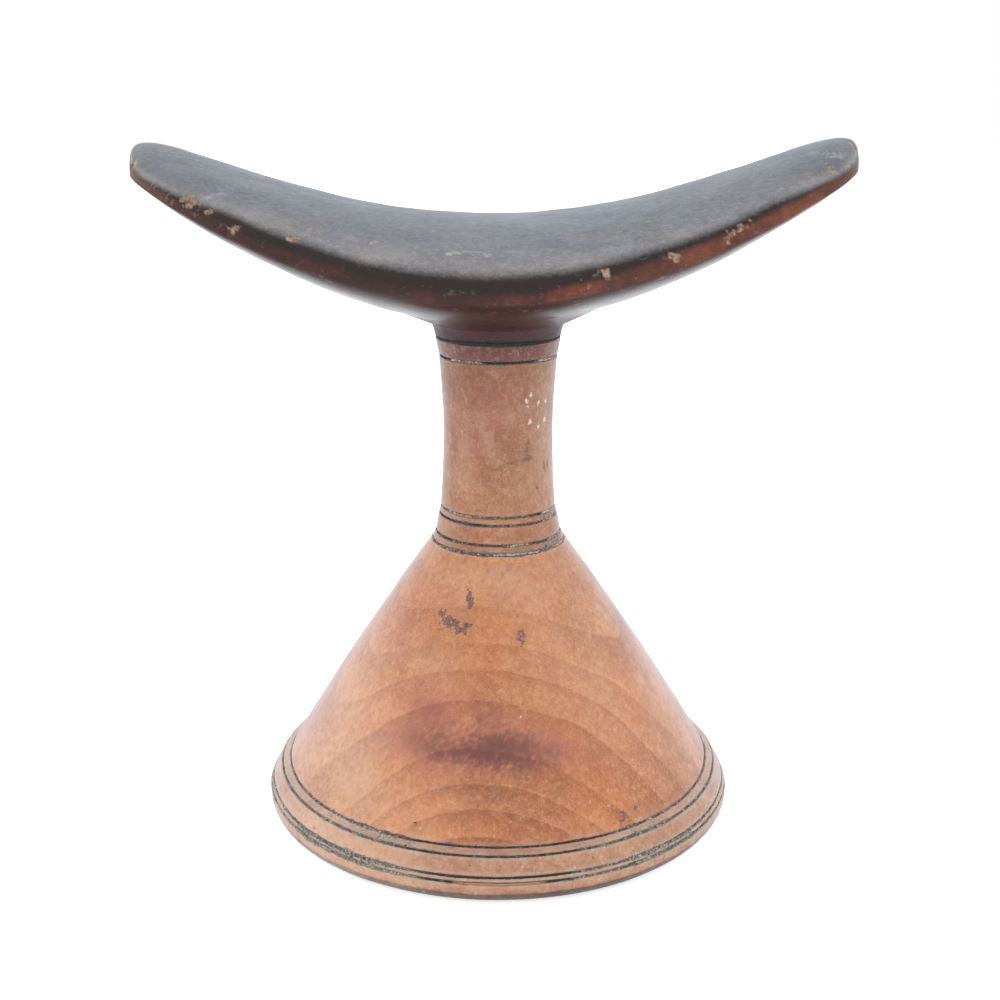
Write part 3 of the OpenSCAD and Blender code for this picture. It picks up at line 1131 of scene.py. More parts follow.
@dataclass
class TurnedSection:
    """One band of the round part, between two neighbouring incised lines."""

    node: str
    low: int
    finish: bpy.types.Material
    steps: int
    row: float
    swell: float = 0.0
    flush_and_shade: float = 0.0
    halo: float = 0.4
    marks: tuple[Mark, ...] = ()
    fine_row: float = 0.16
    chip_depth: float = 0.15

    def rows(self, length: float) -> list[float]:
        """Spaces the rows, closer near the lines than in the middle.

        Args:
            length: Length of the band along its profile, in millimetres.

        Returns:
            The rows' shares of the length, from 0 to 1.
        """
        half = [0.0]
        while half[-1] < length / 2:
            half.append(half[-1] + self.fine_row + (self.row - self.fine_row) * ease(0.4, 2.5, half[-1]))
        scale = length / 2 / half[-1]
        shares = [step * scale / length for step in half]
        return shares + [1.0 - share for share in reversed(shares[:-1])]

    def outline(self) -> Profile:
        """Lays out the section's outline, from the axis out and back.

        Returns:
            The outline's points, in millimetres.
        """
        start, stop = PROFILE.lip(self.low, 1.0), PROFILE.lip(self.low + 1, -1.0)
        bottom, top = PROFILE.root(self.low), PROFILE.root(self.low + 1)
        points = [Vector((0.0, bottom.y)), bottom, bottom.lerp(start, 0.5)]
        for share in self.rows((stop - start).length):
            points.append(start.lerp(stop, share) + Vector((4 * self.swell * share * (1 - share), 0.0)))
        points += [stop.lerp(top, 0.5), top, Vector((0.0, top.y))]
        return [(point.x, point.y) for point in points]

    def wear(self, bm: bmesh.types.BMesh) -> None:
        """Wears the surface, breaks the lips and spreads residue beside the lines.

        Args:
            bm: The section's mesh.
        """
        deposit, dust, flush_and_shade, white = (
            layer_of(bm, layer) for layer in (Layer.DEPOSIT, Layer.DUST, Layer.FLUSH_AND_SHADE, Layer.WHITE))
        top = PROFILE.knot(self.low + 1).y
        lines = [LINES[k - 1] for k in (self.low, self.low + 1) if k > 0]
        bridges = [bridge for bridge in BRIDGES if bridge.section == self.node]
        for vert in bm.verts:
            co = vert.co
            radius, height = math.hypot(co.x, co.y) / MM, co.z / MM
            if radius < 1.0:
                continue
            push = hand_waver(co)
            bearing = math.degrees(math.atan2(co.x, -co.y))
            front = 0.68 + 0.32 * ease(66.0, 24.0, abs(bearing))
            vert[flush_and_shade] = self.flush_and_shade * front * (0.82 + 0.18 * ease(top - 4.0, top, height))
            near = min(math.hypot(line.radius - radius, line.height - height) for line in lines)
            if near < 2.4:
                rough, fine = noise.noise(co * 620.0), noise.noise(co * 1900.0)
                spread = max((bridge.stretch.at(bearing) for bridge in bridges), default=0.0)
                reach = 0.16 + 0.16 * noise.noise(co * 110.0) + 0.22 * noise.noise(co * 330.0)
                for line in lines:
                    if math.hypot(line.radius - radius, line.height - height) <= near + 1e-6:
                        reach += amount_at(line.smears, bearing) - 0.4 * amount_at(line.gaps, bearing)
                lying = 0.95 * ease(reach + 0.22, reach, near + 0.26 * rough + 0.16 * fine)
                crumbs = (bridge.stretch.at(bearing) * bridge.white for bridge in bridges)
                patchy = 0.62 + 0.6 * noise.noise(co * 240.0)
                vert[deposit] = max(spread, lying)
                vert[white] = max(crumbs, default=0.0)
                vert[dust] = max(0.0, self.halo * ease(1.5, 0.35, near) * patchy)
                chipped = max(0.0, rough + 0.1 + 0.4 * spread) * ease(0.95, 0.40, near)
                push += 0.11 * spread * fine - self.chip_depth * chipped
            scale = push * MM / (radius * MM)
            co.x += co.x * scale
            co.y += co.y * scale

    def build(self) -> bpy.types.Object:
        """Builds the section as a piece.

        Returns:
            The piece.
        """
        points = self.outline()
        bm = spin_outline(points, self.steps)
        self.wear(bm)
        low, high = min(z for _, z in points), max(z for _, z in points)
        here = [mark for mark in self.marks if low - 1.5 < mark.place[1] < high + 1.5]
        if here:
            bm.normal_update()
            apply_marks(bm, [(mark, PROFILE.spot(*mark.place)) for mark in here])
        return finish_piece(bm, self.node + "_wood", self.node, self.finish)


@dataclass
class FootSection(TurnedSection):
    """The lowest band, with the rounded edge and the flat foot."""

    round_steps: int = 14
    disc_steps: int = 12
    # Strength of the brown part of the painted shadow along the foot's bottom edge.
    sole_shadow: float = 0.5

    def outline(self) -> Profile:
        """Lays out the foot's outline, from the middle of its underside.

        Returns:
            The outline's points, in millimetres.
        """
        foot, height = PROFILE.foot_radius, PROFILE.foot_round
        reach = PROFILE.rim_radius - foot
        points: Profile = [(foot * k / self.disc_steps, 0.0) for k in range(self.disc_steps)]
        for k in range(self.round_steps + 1):
            turn = math.pi / 2 * k / self.round_steps
            points.append((foot + reach * math.sin(turn), height * (1 - math.cos(turn))))
        start, lip, root = Vector(points[-1]), PROFILE.lip(1, -1.0), PROFILE.root(1)
        steps = round((lip - start).length / self.fine_row)
        for k in range(1, steps + 1):
            point = start.lerp(lip, k / steps)
            points.append((point.x, point.y))
        half = lip.lerp(root, 0.5)
        return points + [(half.x, half.y), (root.x, root.y), (0.0, root.y)]

    def wear(self, bm: bmesh.types.BMesh) -> None:
        """Wears the foot, and paints a dark line of shadow along the edge that it stands on.

        Args:
            bm: The foot's mesh.
        """
        super().wear(bm)
        grime_and_shade, flush_and_shade = layer_of(bm, Layer.GRIME_AND_SHADE), layer_of(bm, Layer.FLUSH_AND_SHADE)
        for vert in bm.verts:
            if vert.co.z < 4.0 * MM:
                height = vert.co.z / MM + 0.12 * noise.noise(vert.co * 300.0)
                # Painted contact shadow: a dark band a few millimetres above the floor along the foot's
                # rounded edge.
                vert[grime_and_shade] = self.sole_shadow * ease(3.6, 2.8, height)
                vert[flush_and_shade] = 0.95 * ease(3.15, 2.8, height)


@dataclass
class Residue:
    """The ring of residue in one incised line."""

    index: int
    finish: bpy.types.Material
    steps: int
    level: float = 0.54
    crumble: float = 0.15

    def build(self) -> bpy.types.Object:
        """Builds the ring, with a crumbly outer face.

        Returns:
            The piece.
        """
        line = LINES[self.index - 1]
        root, out = PROFILE.root(self.index), PROFILE.outward(self.index)
        low = root.lerp(PROFILE.lip(self.index, -1.0), self.level)
        high = root.lerp(PROFILE.lip(self.index, 1.0), self.level)
        crown = [low.lerp(high, k / 4) + out * 0.08 * math.sin(math.pi * k / 4) for k in range(5)]
        bm = spin_outline([(point.x, point.y) for point in (root, *crown)], self.steps, closed=True)
        dust, bare = layer_of(bm, Layer.DUST), layer_of(bm, Layer.BARE)
        for vert in bm.verts:
            co = vert.co
            radius = math.hypot(co.x, co.y) / MM
            bearing = math.degrees(math.atan2(co.x, -co.y))
            push = hand_waver(co)
            vert[dust] = amount_at(line.dust, bearing)
            vert[bare] = amount_at(line.gaps, bearing)
            if math.hypot(radius - root.x, co.z / MM - root.y) > 0.05:
                smear = max(0.0, amount_at(line.smears, bearing))
                push += self.crumble * (noise.noise(co * 2300.0) + 0.7 * noise.noise(co * 600.0))
                push += 0.2 * smear
                push += 0.22 * min(1.0, vert[bare])
            scale = push / radius
            co.x += co.x * scale
            co.y += co.y * scale
        return finish_piece(bm, line.node.replace("_fill", "_residue"), line.node, self.finish, 80.0)


# ---------------------------------------------------------------- headplate


@dataclass
class Headplate:
    """The crescent that the head rests on, with the boss under it."""

    finish: bpy.types.Material
    marks: tuple[Mark, ...] = ()
    half_length: float = 79.4
    shift: float = -1.0
    half_depth: float = 36.0
    edge_height: float = 124.8
    crown: float = 14.9
    keel: float = 8.2
    slope: float = 0.8
    bend: float = 71.0
    tilt: float = 0.006
    crown_shape: tuple[float, float] = (0.25, 0.21)
    keel_shape: tuple[float, float] = (0.3, 0.745)
    depth_shape: tuple[float, float] = (0.35, 0.39)
    around: int = 220
    along: int = 400
    flare_width: float = 15.5
    core_height: float = 5.8
    seat_depth: float = 0.5
    boss_flare: float = 0.45
    boss_steps: int = 240
    boss_rows: int = 12
    flare_rows: int = 24

    @staticmethod
    def taper(share: float, shape: tuple[float, float]) -> float:
        """Tells how much of a thickness is left at a share of the length.

        Args:
            share: -1 at one tip, 0 in the middle and 1 at the other tip.
            shape: How soft the middle is, and how blunt the tips are.

        Returns:
            1 in the middle, falling to 0 at the tips.
        """
        soft, blunt = shape
        away = (math.sqrt(share * share + soft * soft) - soft) / (math.sqrt(1 + soft * soft) - soft)
        return max(0.0, 1.0 - away) ** blunt

    def edge_at(self, x: float) -> float:
        """Height of the side edge at a distance x from the middle, in millimetres."""
        return self.edge_height + math.hypot(self.bend, self.slope * x) - self.bend + self.tilt * x

    def point(self, share: float, angle: float) -> Vector:
        """Gives a point of the crescent.

        Args:
            share: Place along the length, from -1 to 1.
            angle: Angle round the section, from +Y over the top.

        Returns:
            The point, in metres.
        """
        x = self.half_length * share
        over = math.sin(angle) > 0
        most, shape = (self.crown, self.crown_shape) if over else (self.keel, self.keel_shape)
        depth = self.half_depth * self.taper(share, self.depth_shape)
        height = self.edge_at(x) + most * self.taper(share, shape) * math.sin(angle)
        return Vector((x + self.shift, depth * math.cos(angle), height)) * MM

    def spot(self, share: float, angle: float) -> Spot:
        """Finds a place on the crescent.

        Args:
            share: Place along the length, from -1 to 1.
            angle: Angle of the section up from the front edge, in degrees.

        Returns:
            The place, with the surface's directions there.
        """
        here = math.pi - math.radians(angle)
        centre = self.point(share, here)
        sideways = (self.point(share + 0.01, here) - centre).normalized()
        return Spot(centre, sideways, (self.point(share, here - 0.02) - centre).normalized())

    def underside(self, x: float, y: float) -> float:
        """Height of the underside over a place near the middle, in millimetres."""
        share = (x - self.shift) / self.half_length
        depth = self.half_depth * self.taper(share, self.depth_shape)
        thick = self.keel * self.taper(share, self.keel_shape)
        return self.edge_at(x - self.shift) - thick * math.sqrt(max(0.0, 1 - (y / depth) ** 2))

    def build_crescent(self) -> bmesh.types.BMesh:
        """Builds the crescent: a grid wrapped round its section and closed at the tips.

        Returns:
            The mesh.
        """
        bm = bmesh.new()
        bmesh.ops.create_grid(bm, x_segments=self.around, y_segments=self.along, size=1.0)
        for vert in bm.verts:
            vert.co = self.point(math.sin(vert.co.y * math.pi / 2), vert.co.x * math.pi)
        bmesh.ops.remove_doubles(bm, verts=bm.verts[:], dist=MERGE)
        bmesh.ops.recalc_face_normals(bm, faces=bm.faces[:])
        bm.normal_update()
        rise = layer_of(bm, Layer.RISE)
        for vert in bm.verts:
            vert[rise] = vert.normal.z
        return bm

    def build_boss(self) -> bmesh.types.BMesh:
        """Builds the round boss, which flares into the underside.

        Returns:
            The mesh.
        """
        root, lip, edge = PROFILE.root(10), PROFILE.lip(10, 1.0), PROFILE.knot(11)
        points = [Vector((0.0, root.y)), root, root.lerp(lip, 0.5)]
        for k in range(self.boss_rows + 1):
            share = k / self.boss_rows
            points.append(lip.lerp(edge, share) + Vector((self.boss_flare * share ** 2.4, 0.0)))
        edge = points[-1]
        for k in range(1, self.flare_rows + 1):
            points.append(edge + Vector((self.flare_width, self.core_height)) * k / self.flare_rows)
        core = edge.y + self.core_height
        points += [Vector((edge.x, core)), Vector((0.0, core))]
        bm = spin_outline([(point.x, point.y) for point in points], self.boss_steps)
        flush_and_shade, rise, deposit = (layer_of(bm, layer) for layer in (Layer.FLUSH_AND_SHADE, Layer.RISE, Layer.DEPOSIT))
        line = LINES[-1]
        for vert in bm.verts:
            radius, height = math.hypot(vert.co.x, vert.co.y) / MM, vert.co.z / MM
            out = (radius - edge.x) / self.flare_width
            if out > 0.01 and height > edge.y:
                far = (edge.x + self.flare_width) / radius
                seat = self.underside(vert.co.x * far / MM, vert.co.y * far / MM) + self.seat_depth
                vert.co.z = (edge.y + (seat - edge.y) * min(1.0, out)) * MM
            vert[flush_and_shade] = ease(1.2, 0.1, radius - edge.x)
            vert[rise] = -0.45 - 0.3 * ease(0.3, 1.0, out)
            if radius > 1.0:
                near = math.hypot(line.radius - radius, line.height - height)
                near += 0.2 * noise.noise(vert.co * 620.0)
                bearing = math.degrees(math.atan2(vert.co.x, -vert.co.y))
                reach = 0.24 + amount_at(line.smears, bearing)
                vert[deposit] = 0.95 * ease(reach + 0.25, reach, near)
                scale = hand_waver(vert.co) * ease(1.0, 0.0, out) / radius
                vert.co.x += vert.co.x * scale
                vert.co.y += vert.co.y * scale
        return bm

    def build(self) -> bpy.types.Object:
        """Builds the headplate as a piece.

        Returns:
            The piece.
        """
        bm = self.build_crescent()
        for vert in bm.verts:
            co = vert.co
            push = 0.26 * noise.noise(co * 55.0) + 0.08 * noise.noise(co * 190.0)
            worn_edge = ease(0.40, 0.0, abs(vert.normal.z - 0.62))
            push -= 0.16 * worn_edge * max(0.0, noise.noise(co * 380.0))
            vert.co += vert.normal * push * MM
        bm.normal_update()
        apply_marks(bm, [(mark, self.spot(*mark.place)) for mark in self.marks])
        layer_of(bm, Layer.FLUSH_AND_SHADE)
        layer_of(bm, Layer.DEPOSIT)
        boss = self.build_boss()
        scratch = bpy.data.meshes.new("boss_scratch")
        boss.to_mesh(scratch)
        boss.free()
        bm.from_mesh(scratch)
        bpy.data.meshes.remove(scratch)
        return finish_piece(bm, "headplate_wood", "headplate", self.finish, 50.0)


# ---------------------------------------------------------------- marks of use


def plate_marks() -> tuple[Mark, ...]:
    """Lists the chips, rubs and scratches of the headplate.

    Returns:
        The marks, with places as share of the half length and section angle.
    """
    bare, rub = Layer.BARE, Layer.WHITE
    return (
        Mark(rub, (-0.097, 36), (2.6, 0.7), 0.0, 0.7, 0.75, 12),
        Mark(rub, (-0.040, 38), (1.8, 0.5), 0.0, 0.7, 0.60, -8),
        Mark(rub, (-0.010, 35), (1.4, 0.8), 0.0, 0.7, 0.70),
        Mark(rub, (0.055, 37), (2.4, 0.5), 0.0, 0.7, 0.55, -6),
        Mark(rub, (-0.160, 34), (2.0, 0.6), 0.0, 0.7, 0.50, 8),
        Mark(rub, (-0.311, 36), (1.3, 0.8), 0.0, 0.6, 0.65),
        Mark(rub, (-0.463, 50), (1.2, 0.8), 0.0, 0.6, 0.60),
        Mark(rub, (-0.730, 32), (1.8, 1.2), 0.0, 0.6, 0.60, 20),
        Mark(rub, (-0.430, 116), (9.0, 1.0), 0.0, 0.6, 0.45, 2, -0.2),
        Mark(rub, (-0.270, 118), (8.0, 1.0), 0.0, 0.6, 0.50, 2, -0.2),
        Mark(rub, (-0.080, 118), (8.0, 1.0), 0.0, 0.6, 0.40, 0, -0.2),
        Mark(rub, (0.120, 118), (7.0, 1.0), 0.0, 0.6, 0.42, 0, -0.2),
        Mark(rub, (0.300, 117), (8.0, 1.0), 0.0, 0.6, 0.50, -2, -0.2),
        Mark(rub, (0.470, 115), (7.0, 1.2), 0.0, 0.6, 0.40, -2, -0.2),
        Mark(rub, (-0.820, 70), (8.0, 3.0), 0.0, 0.6, 0.42, 10, -0.2),
        Mark(rub, (0.860, 60), (7.0, 3.4), 0.0, 0.6, 0.48, -20, -0.2),
        Mark(rub, (0.930, 35), (2.6, 2.0), 0.0, 0.7, 0.45, 30, -0.1),
        Mark(bare, (-0.968, 27), (1.0, 1.0), -0.25),
        Mark(bare, (-0.790, 16), (3.0, 1.5), -0.35, 0.8, 0.84, -25, 0.2),
        Mark(bare, (-0.737, 15), (0.9, 0.8), -0.25),
        Mark(bare, (-0.672, 8), (1.8, 1.4), -0.35, 0.7, 0.80, -30, 0.2),
        Mark(bare, (-0.705, 6), (0.9, 0.9), -0.15, 0.8, 0.42),
        Mark(bare, (-0.515, 21), (1.9, 0.9), -0.30, 0.6, 1.0, -10),
        Mark(bare, (-0.583, 27), (0.9, 0.7), -0.10, 0.6, 0.6),
        Mark(bare, (-0.492, 33), (0.8, 0.28), -0.08, 0.2, 0.9, 24),
        Mark(bare, (-0.470, 34), (0.9, 0.28), -0.08, 0.2, 0.9, 0),
        Mark(bare, (-0.450, 33), (0.8, 0.28), -0.08, 0.2, 0.9, -30),
        Mark(bare, (-0.463, 48), (0.7, 0.6), -0.08, 0.6, 0.6),
        Mark(bare, (0.286, 12), (1.2, 1.5), -0.35, 0.5, 1.0, 0, 0.3),
        Mark(bare, (0.310, 7), (1.3, 0.6), -0.15, 0.8, 0.36, -35),
        Mark(bare, (0.246, 3), (0.9, 0.8), -0.15, 0.6, 0.48),
        Mark(bare, (0.461, 10), (1.1, 1.5), -0.35, 0.5, 1.0, 0, 0.3),
        Mark(bare, (0.640, 13), (3.4, 0.9), -0.20, 0.8, 0.68, 30, 0.2),
        Mark(bare, (0.610, 10), (0.9, 0.8), -0.20, 0.7, 0.55),
        Mark(bare, (0.606, 4), (0.8, 0.9), -0.20, 0.6, 0.60),
        Mark(bare, (0.900, 27), (2.0, 1.2), -0.15, 0.9, 0.55, 30),
        Mark(bare, (0.976, 54), (0.9, 1.4), -0.20, 0.6, 0.9),
        Mark(bare, (0.430, -13), (1.2, 0.6), -0.08, 0.7, 0.6, 20),
        Mark(bare, (0.70, 158), (1.4, 1.0), -0.30),
        Mark(bare, (-0.35, 168), (1.8, 0.8), -0.25, 0.7, 0.9),
        Mark(bare, (0.12, 171), (1.0, 1.2), -0.30),
        Mark(bare, (-0.82, 160), (1.2, 1.0), -0.25, 0.6),
        Mark(bare, (0.45, 176), (1.4, 0.8), -0.25, 0.7),
    )


def turned_marks() -> tuple[Mark, ...]:
    """Lists the scabs, flecks, stains and chips of the round part.

    Returns:
        The marks, with places as bearing and height.
    """
    scab, fleck, stain, bare = Layer.DEPOSIT, Layer.WHITE, Layer.STAIN, Layer.BARE
    dirt, pale = Layer.GRIME_AND_SHADE, Layer.PALE_AND_LIT
    scabs = [
        Mark(scab, (-17.6, 56.6), (1.04, 1.95), 0.05, 0.8, 0.85, 20),
        Mark(scab, (-15.4, 55.0), (0.91, 1.17), 0.05, 0.8, 0.85),
        Mark(scab, (-31.0, 52.8), (1.43, 0.91), 0.05, 0.9, 0.88),
        Mark(scab, (-27.5, 51.7), (1.43, 1.43), 0.05, 0.9, 0.88, 30),
        Mark(scab, (-23.0, 51.0), (1.82, 1.3), 0.05, 0.9, 0.88),
        Mark(scab, (-19.0, 50.0), (1.56, 0.91), 0.05, 0.9, 0.88),
        Mark(scab, (-16.2, 50.9), (1.3, 1.17), 0.05, 0.9, 0.88),
        Mark(scab, (10.9, 48.8), (1.3, 2.47), 0.03, 0.8, 0.50),
        Mark(scab, (-21.3, 14.3), (1.0, 0.6), 0.04, 0.6, 0.75),
        Mark(scab, (34.0, 13.6), (1.6, 1.1), 0.05, 0.9, 0.68, 30),
        Mark(scab, (38.0, 14.3), (1.3, 0.8), 0.05, 0.9, 0.68),
        Mark(scab, (30.5, 12.9), (1.0, 0.5), 0.05, 0.9, 0.60),
        Mark(scab, (-15.8, 8.5), (0.7, 0.4), 0.03, 0.7, 0.75),
        Mark(scab, (-6.4, 8.6), (0.5, 0.4), 0.03, 0.7, 0.70),
        Mark(scab, (-20.6, 8.6), (0.3, 0.3), 0.03, 0.5, 0.60),
        Mark(dirt, (31.0, 86.4), (1.5, 0.7), -0.05, 0.9, 1.0),
        Mark(dirt, (31.5, 89.4), (0.5, 2.2), -0.05, 0.7, 1.0, -8),
        Mark(dirt, (55.0, 83.4), (0.6, 1.8), -0.05, 0.7, 1.0, 15),
        Mark(dirt, (61.0, 84.2), (0.5, 1.2), -0.05, 0.7, 1.0),
        Mark(dirt, (14.0, 85.6), (3.0, 0.30), -0.06, 0.4, 1.0, 16),
        Mark(dirt, (-2.0, 84.2), (3.0, 0.24), -0.04, 0.4, 0.8, 14),
        Mark(dirt, (44.0, 79.4), (0.7, 0.8), -0.04, 0.7, 1.0),
        Mark(scab, (120.0, 44.0), (1.2, 0.9), 0.05, 0.9, 0.60),
        Mark(scab, (-140.0, 30.0), (1.4, 0.8), 0.05, 0.9, 0.60),
        Mark(scab, (175.0, 52.0), (0.8, 1.1), 0.05, 0.9, 0.60),
        Mark(scab, (-100.0, 56.0), (0.91, 0.91), 0.05, 0.9, 0.55),
    ]
    stains = [
        Mark(stain, (4.0, 29.0), (14.5, 5.6), 0.0, 0.3, 0.76, 3, -0.2),
        Mark(stain, (0.0, 28.8), (12.0, 3.8), 0.0, 0.3, 0.56, 2, -0.1),
        Mark(stain, (-3.0, 33.4), (5.8, 4.4), 0.0, 0.3, 0.50, 10, -0.2),
        Mark(stain, (-17.0, 27.8), (18.0, 5.4), 0.0, 0.3, 0.50, 2, -0.2),
        Mark(stain, (-30.0, 29.0), (18.0, 6.5), 0.0, 0.3, 0.40, 8, -0.3),
        Mark(stain, (-24.0, 36.0), (10.5, 8.0), 0.0, 0.3, 0.50, 15, -0.3),
        Mark(stain, (-14.0, 33.0), (27.2, 11.9), 0.0, 0.3, 0.34, 6, -0.6),
        Mark(stain, (15.0, 27.4), (14.5, 4.0), 0.0, 0.3, 0.46, -10, -0.1),
        Mark(stain, (26.0, 26.4), (17.0, 5.4), 0.0, 0.3, 0.30, -14, -0.3),
        Mark(stain, (6.0, 24.8), (7.8, 3.4), 0.0, 0.5, 0.34, 0, -0.1),
        Mark(stain, (2.3, 56.6), (2.8, 3.0), 0.0, 0.4, 0.36, 0, -0.1),
        Mark(stain, (-0.5, 49.0), (1.8, 1.8), 0.0, 0.4, 0.42, 0, 0.0),
        Mark(stain, (11.0, 49.0), (2.8, 3.2), 0.0, 0.4, 0.42, 0, 0.0),
        Mark(stain, (8.0, 62.3), (2.0, 1.5), 0.0, 0.4, 0.36, 0, 0.0),
        Mark(stain, (-5.0, 61.8), (1.5, 1.1), 0.0, 0.4, 0.34, 0, 0.0),
        Mark(stain, (-20.0, 51.5), (7.1, 3.7), 0.0, 0.4, 0.26, 0, -0.2),
        Mark(stain, (-8.0, 7.4), (7.6, 1.4), 0.0, 0.4, 0.40, 0, 0.0),
        Mark(stain, (6.0, 7.6), (4.2, 1.4), 0.0, 0.4, 0.30, 0, 0.0),
        Mark(stain, (150.0, 38.0), (22.1, 8.5), 0.0, 0.3, 0.60, 12, -0.3),
        Mark(stain, (-120.0, 24.0), (20.4, 6.8), 0.0, 0.3, 0.55, -8, -0.3),
        Mark(stain, (0.0, 101.0), (7.6, 12.8), 0.0, 0.3, 0.34, 12, -0.3),
        Mark(stain, (160.0, 92.0), (7.6, 13.6), 0.0, 0.3, 0.35, 0, -0.3),
    ]
    rubbed = [
        Mark(stain, (-9.0, 28.4), (21.0, 7.0), 0.0, 0.3, 0.52, 3, -0.4),
        Mark(dirt, (4.0, 23.0), (13.6, 7.6), 0.0, 0.5, 0.55, 0, -0.3),
        Mark(dirt, (1.0, 16.5), (17.0, 7.6), 0.0, 0.5, 0.42, 0, -0.4),
        Mark(dirt, (-12.0, 22.5), (10.2, 4.1), 0.0, 0.5, 0.34, 0, -0.2),
        Mark(dirt, (22.0, 22.0), (11.9, 6.0), 0.0, 0.5, 0.34, 0, -0.3),
        Mark(dirt, (-2.0, 35.5), (5.4, 3.4), 0.0, 0.5, 0.40, 0, -0.1),
        Mark(dirt, (52.0, 12.6), (15.3, 2.7), 0.0, 0.5, 0.30, 0, -0.2),
        Mark(dirt, (10.0, 2.9), (23.8, 1.5), 0.0, 0.6, 0.34, 0, -0.2),
        Mark(dirt, (-4.0, 8.4), (27.2, 3.1), 0.0, 0.6, 0.26, 0, -0.3),
        Mark(dirt, (45.0, 8.0), (27.2, 3.7), 0.0, 0.6, 0.24, 0, -0.3),
        Mark(dirt, (30.0, 89.0), (5.1, 11.0), 0.0, 0.5, 0.24, 0, -0.3),
        Mark(dirt, (0.0, 69.0), (13.0, 2.4), 0.0, 0.4, 0.26, 0, -0.3),
        Mark(dirt, (-20.0, 103.0), (6.0, 6.8), 0.0, 0.5, 0.30, 0, -0.3),
        # The pale patches low on the left flank and rim are partly faded wood and partly painted light from
        # the left.
        Mark(pale, (-44.0, 17.0), (28.9, 15.3), 0.0, 0.4, 0.55, -10, -0.6),
        Mark(pale, (-56.0, 30.0), (20.4, 20.4), 0.0, 0.4, 0.40, 0, -0.6),
        Mark(pale, (-42.0, 8.4), (40.8, 4.4), 0.0, 0.4, 0.50, 0, -0.4),
        Mark(pale, (-42.0, 3.4), (36.0, 3.3), 0.0, 0.4, 0.54, 0, -0.4),
        Mark(pale, (24.0, 55.0), (10.2, 15.3), 0.0, 0.4, 0.30, 0, -0.6),
        Mark(pale, (-24.0, 57.0), (5.1, 8.5), 0.0, 0.4, 0.22, 0, -0.6),
        Mark(pale, (-30.0, 43.0), (10.2, 6.0), 0.0, 0.4, 0.28, 0, -0.5),
        Mark(pale, (-11.0, 91.0), (2.2, 8.5), 0.0, 0.5, 0.30, 16, -0.4),
        Mark(pale, (14.0, 96.0), (3.0, 2.5), 0.0, 0.5, 0.24, 0, -0.4),
        Mark(pale, (-36.0, 88.0), (3.4, 15.3), 0.0, 0.5, 0.22, 0, -0.4),
        Mark(pale, (50.0, 90.0), (8.0, 28.0), 0.0, 0.4, 0.34, 0, -0.6),
        Mark(pale, (34.0, 38.0), (20.0, 20.0), 0.0, 0.4, 0.26, 0, -0.6),
        Mark(pale, (18.0, 60.0), (12.0, 8.0), 0.0, 0.4, 0.30, 0, -0.6),
        Mark(pale, (-14.0, 61.0), (10.0, 7.0), 0.0, 0.4, 0.24, 0, -0.6),
        Mark(pale, (120.0, 30.0), (30.6, 15.3), 0.0, 0.4, 0.35, 0, -0.6),
    ]
    flecks = [
        Mark(fleck, place, (0.62, 0.80), 0.02, 0.6, 0.66, lean)
        for place, lean in (((29, 99.6), 20), ((35, 100.8), 0), ((45, 98.9), -25), ((56.5, 98.8), 0),
                            ((34, 94.6), -40), ((56, 94.6), 8), ((46, 93.1), -20))
    ]
    flecks += [
        Mark(fleck, place, (0.26, 0.45), 0.02, 0.8, 0.62, 20)
        for place in ((1.0, 34.2), (7.9, 34.3), (1.3, 31.1))
    ]
    rings = [
        Mark(fleck, (31.5, 98.2), (0.6, 0.22), 0.02, 0.6, 0.8, -20),
        Mark(fleck, (44.0, 97.8), (0.55, 0.20), 0.02, 0.6, 0.8, 10),
        Mark(fleck, (-19.0, 20.9), (1.8, 0.16), 0.01, 0.6, 0.6, -8),
    ]
    chips = [
        Mark(bare, (-54.0, 3.6), (0.45, 1.6), -0.6, 0.4, 0.5, 18),
        Mark(bare, (-74.7, 4.2), (1.4, 0.9), -0.45, 0.5, 0.6),
        Mark(bare, (40.5, 4.2), (0.8, 0.7), -0.35, 0.6, 0.6),
        Mark(bare, (44.0, 4.8), (0.4, 0.9), -0.35, 0.6, 0.6, 15),
        Mark(bare, (46.5, 4.6), (0.35, 0.9), -0.30, 0.6, 0.6, 15),
        Mark(bare, (71.0, 4.4), (1.1, 0.7), -0.30, 0.6, 0.5),
        Mark(bare, (170.0, 4.4), (1.4, 0.9), -0.40, 0.6, 0.6),
        Mark(bare, (-125.0, 3.9), (1.0, 0.9), -0.40, 0.6, 0.6),
    ]
    return tuple(scabs + stains + rubbed + flecks + rings + chips)


# ---------------------------------------------------------------- setting


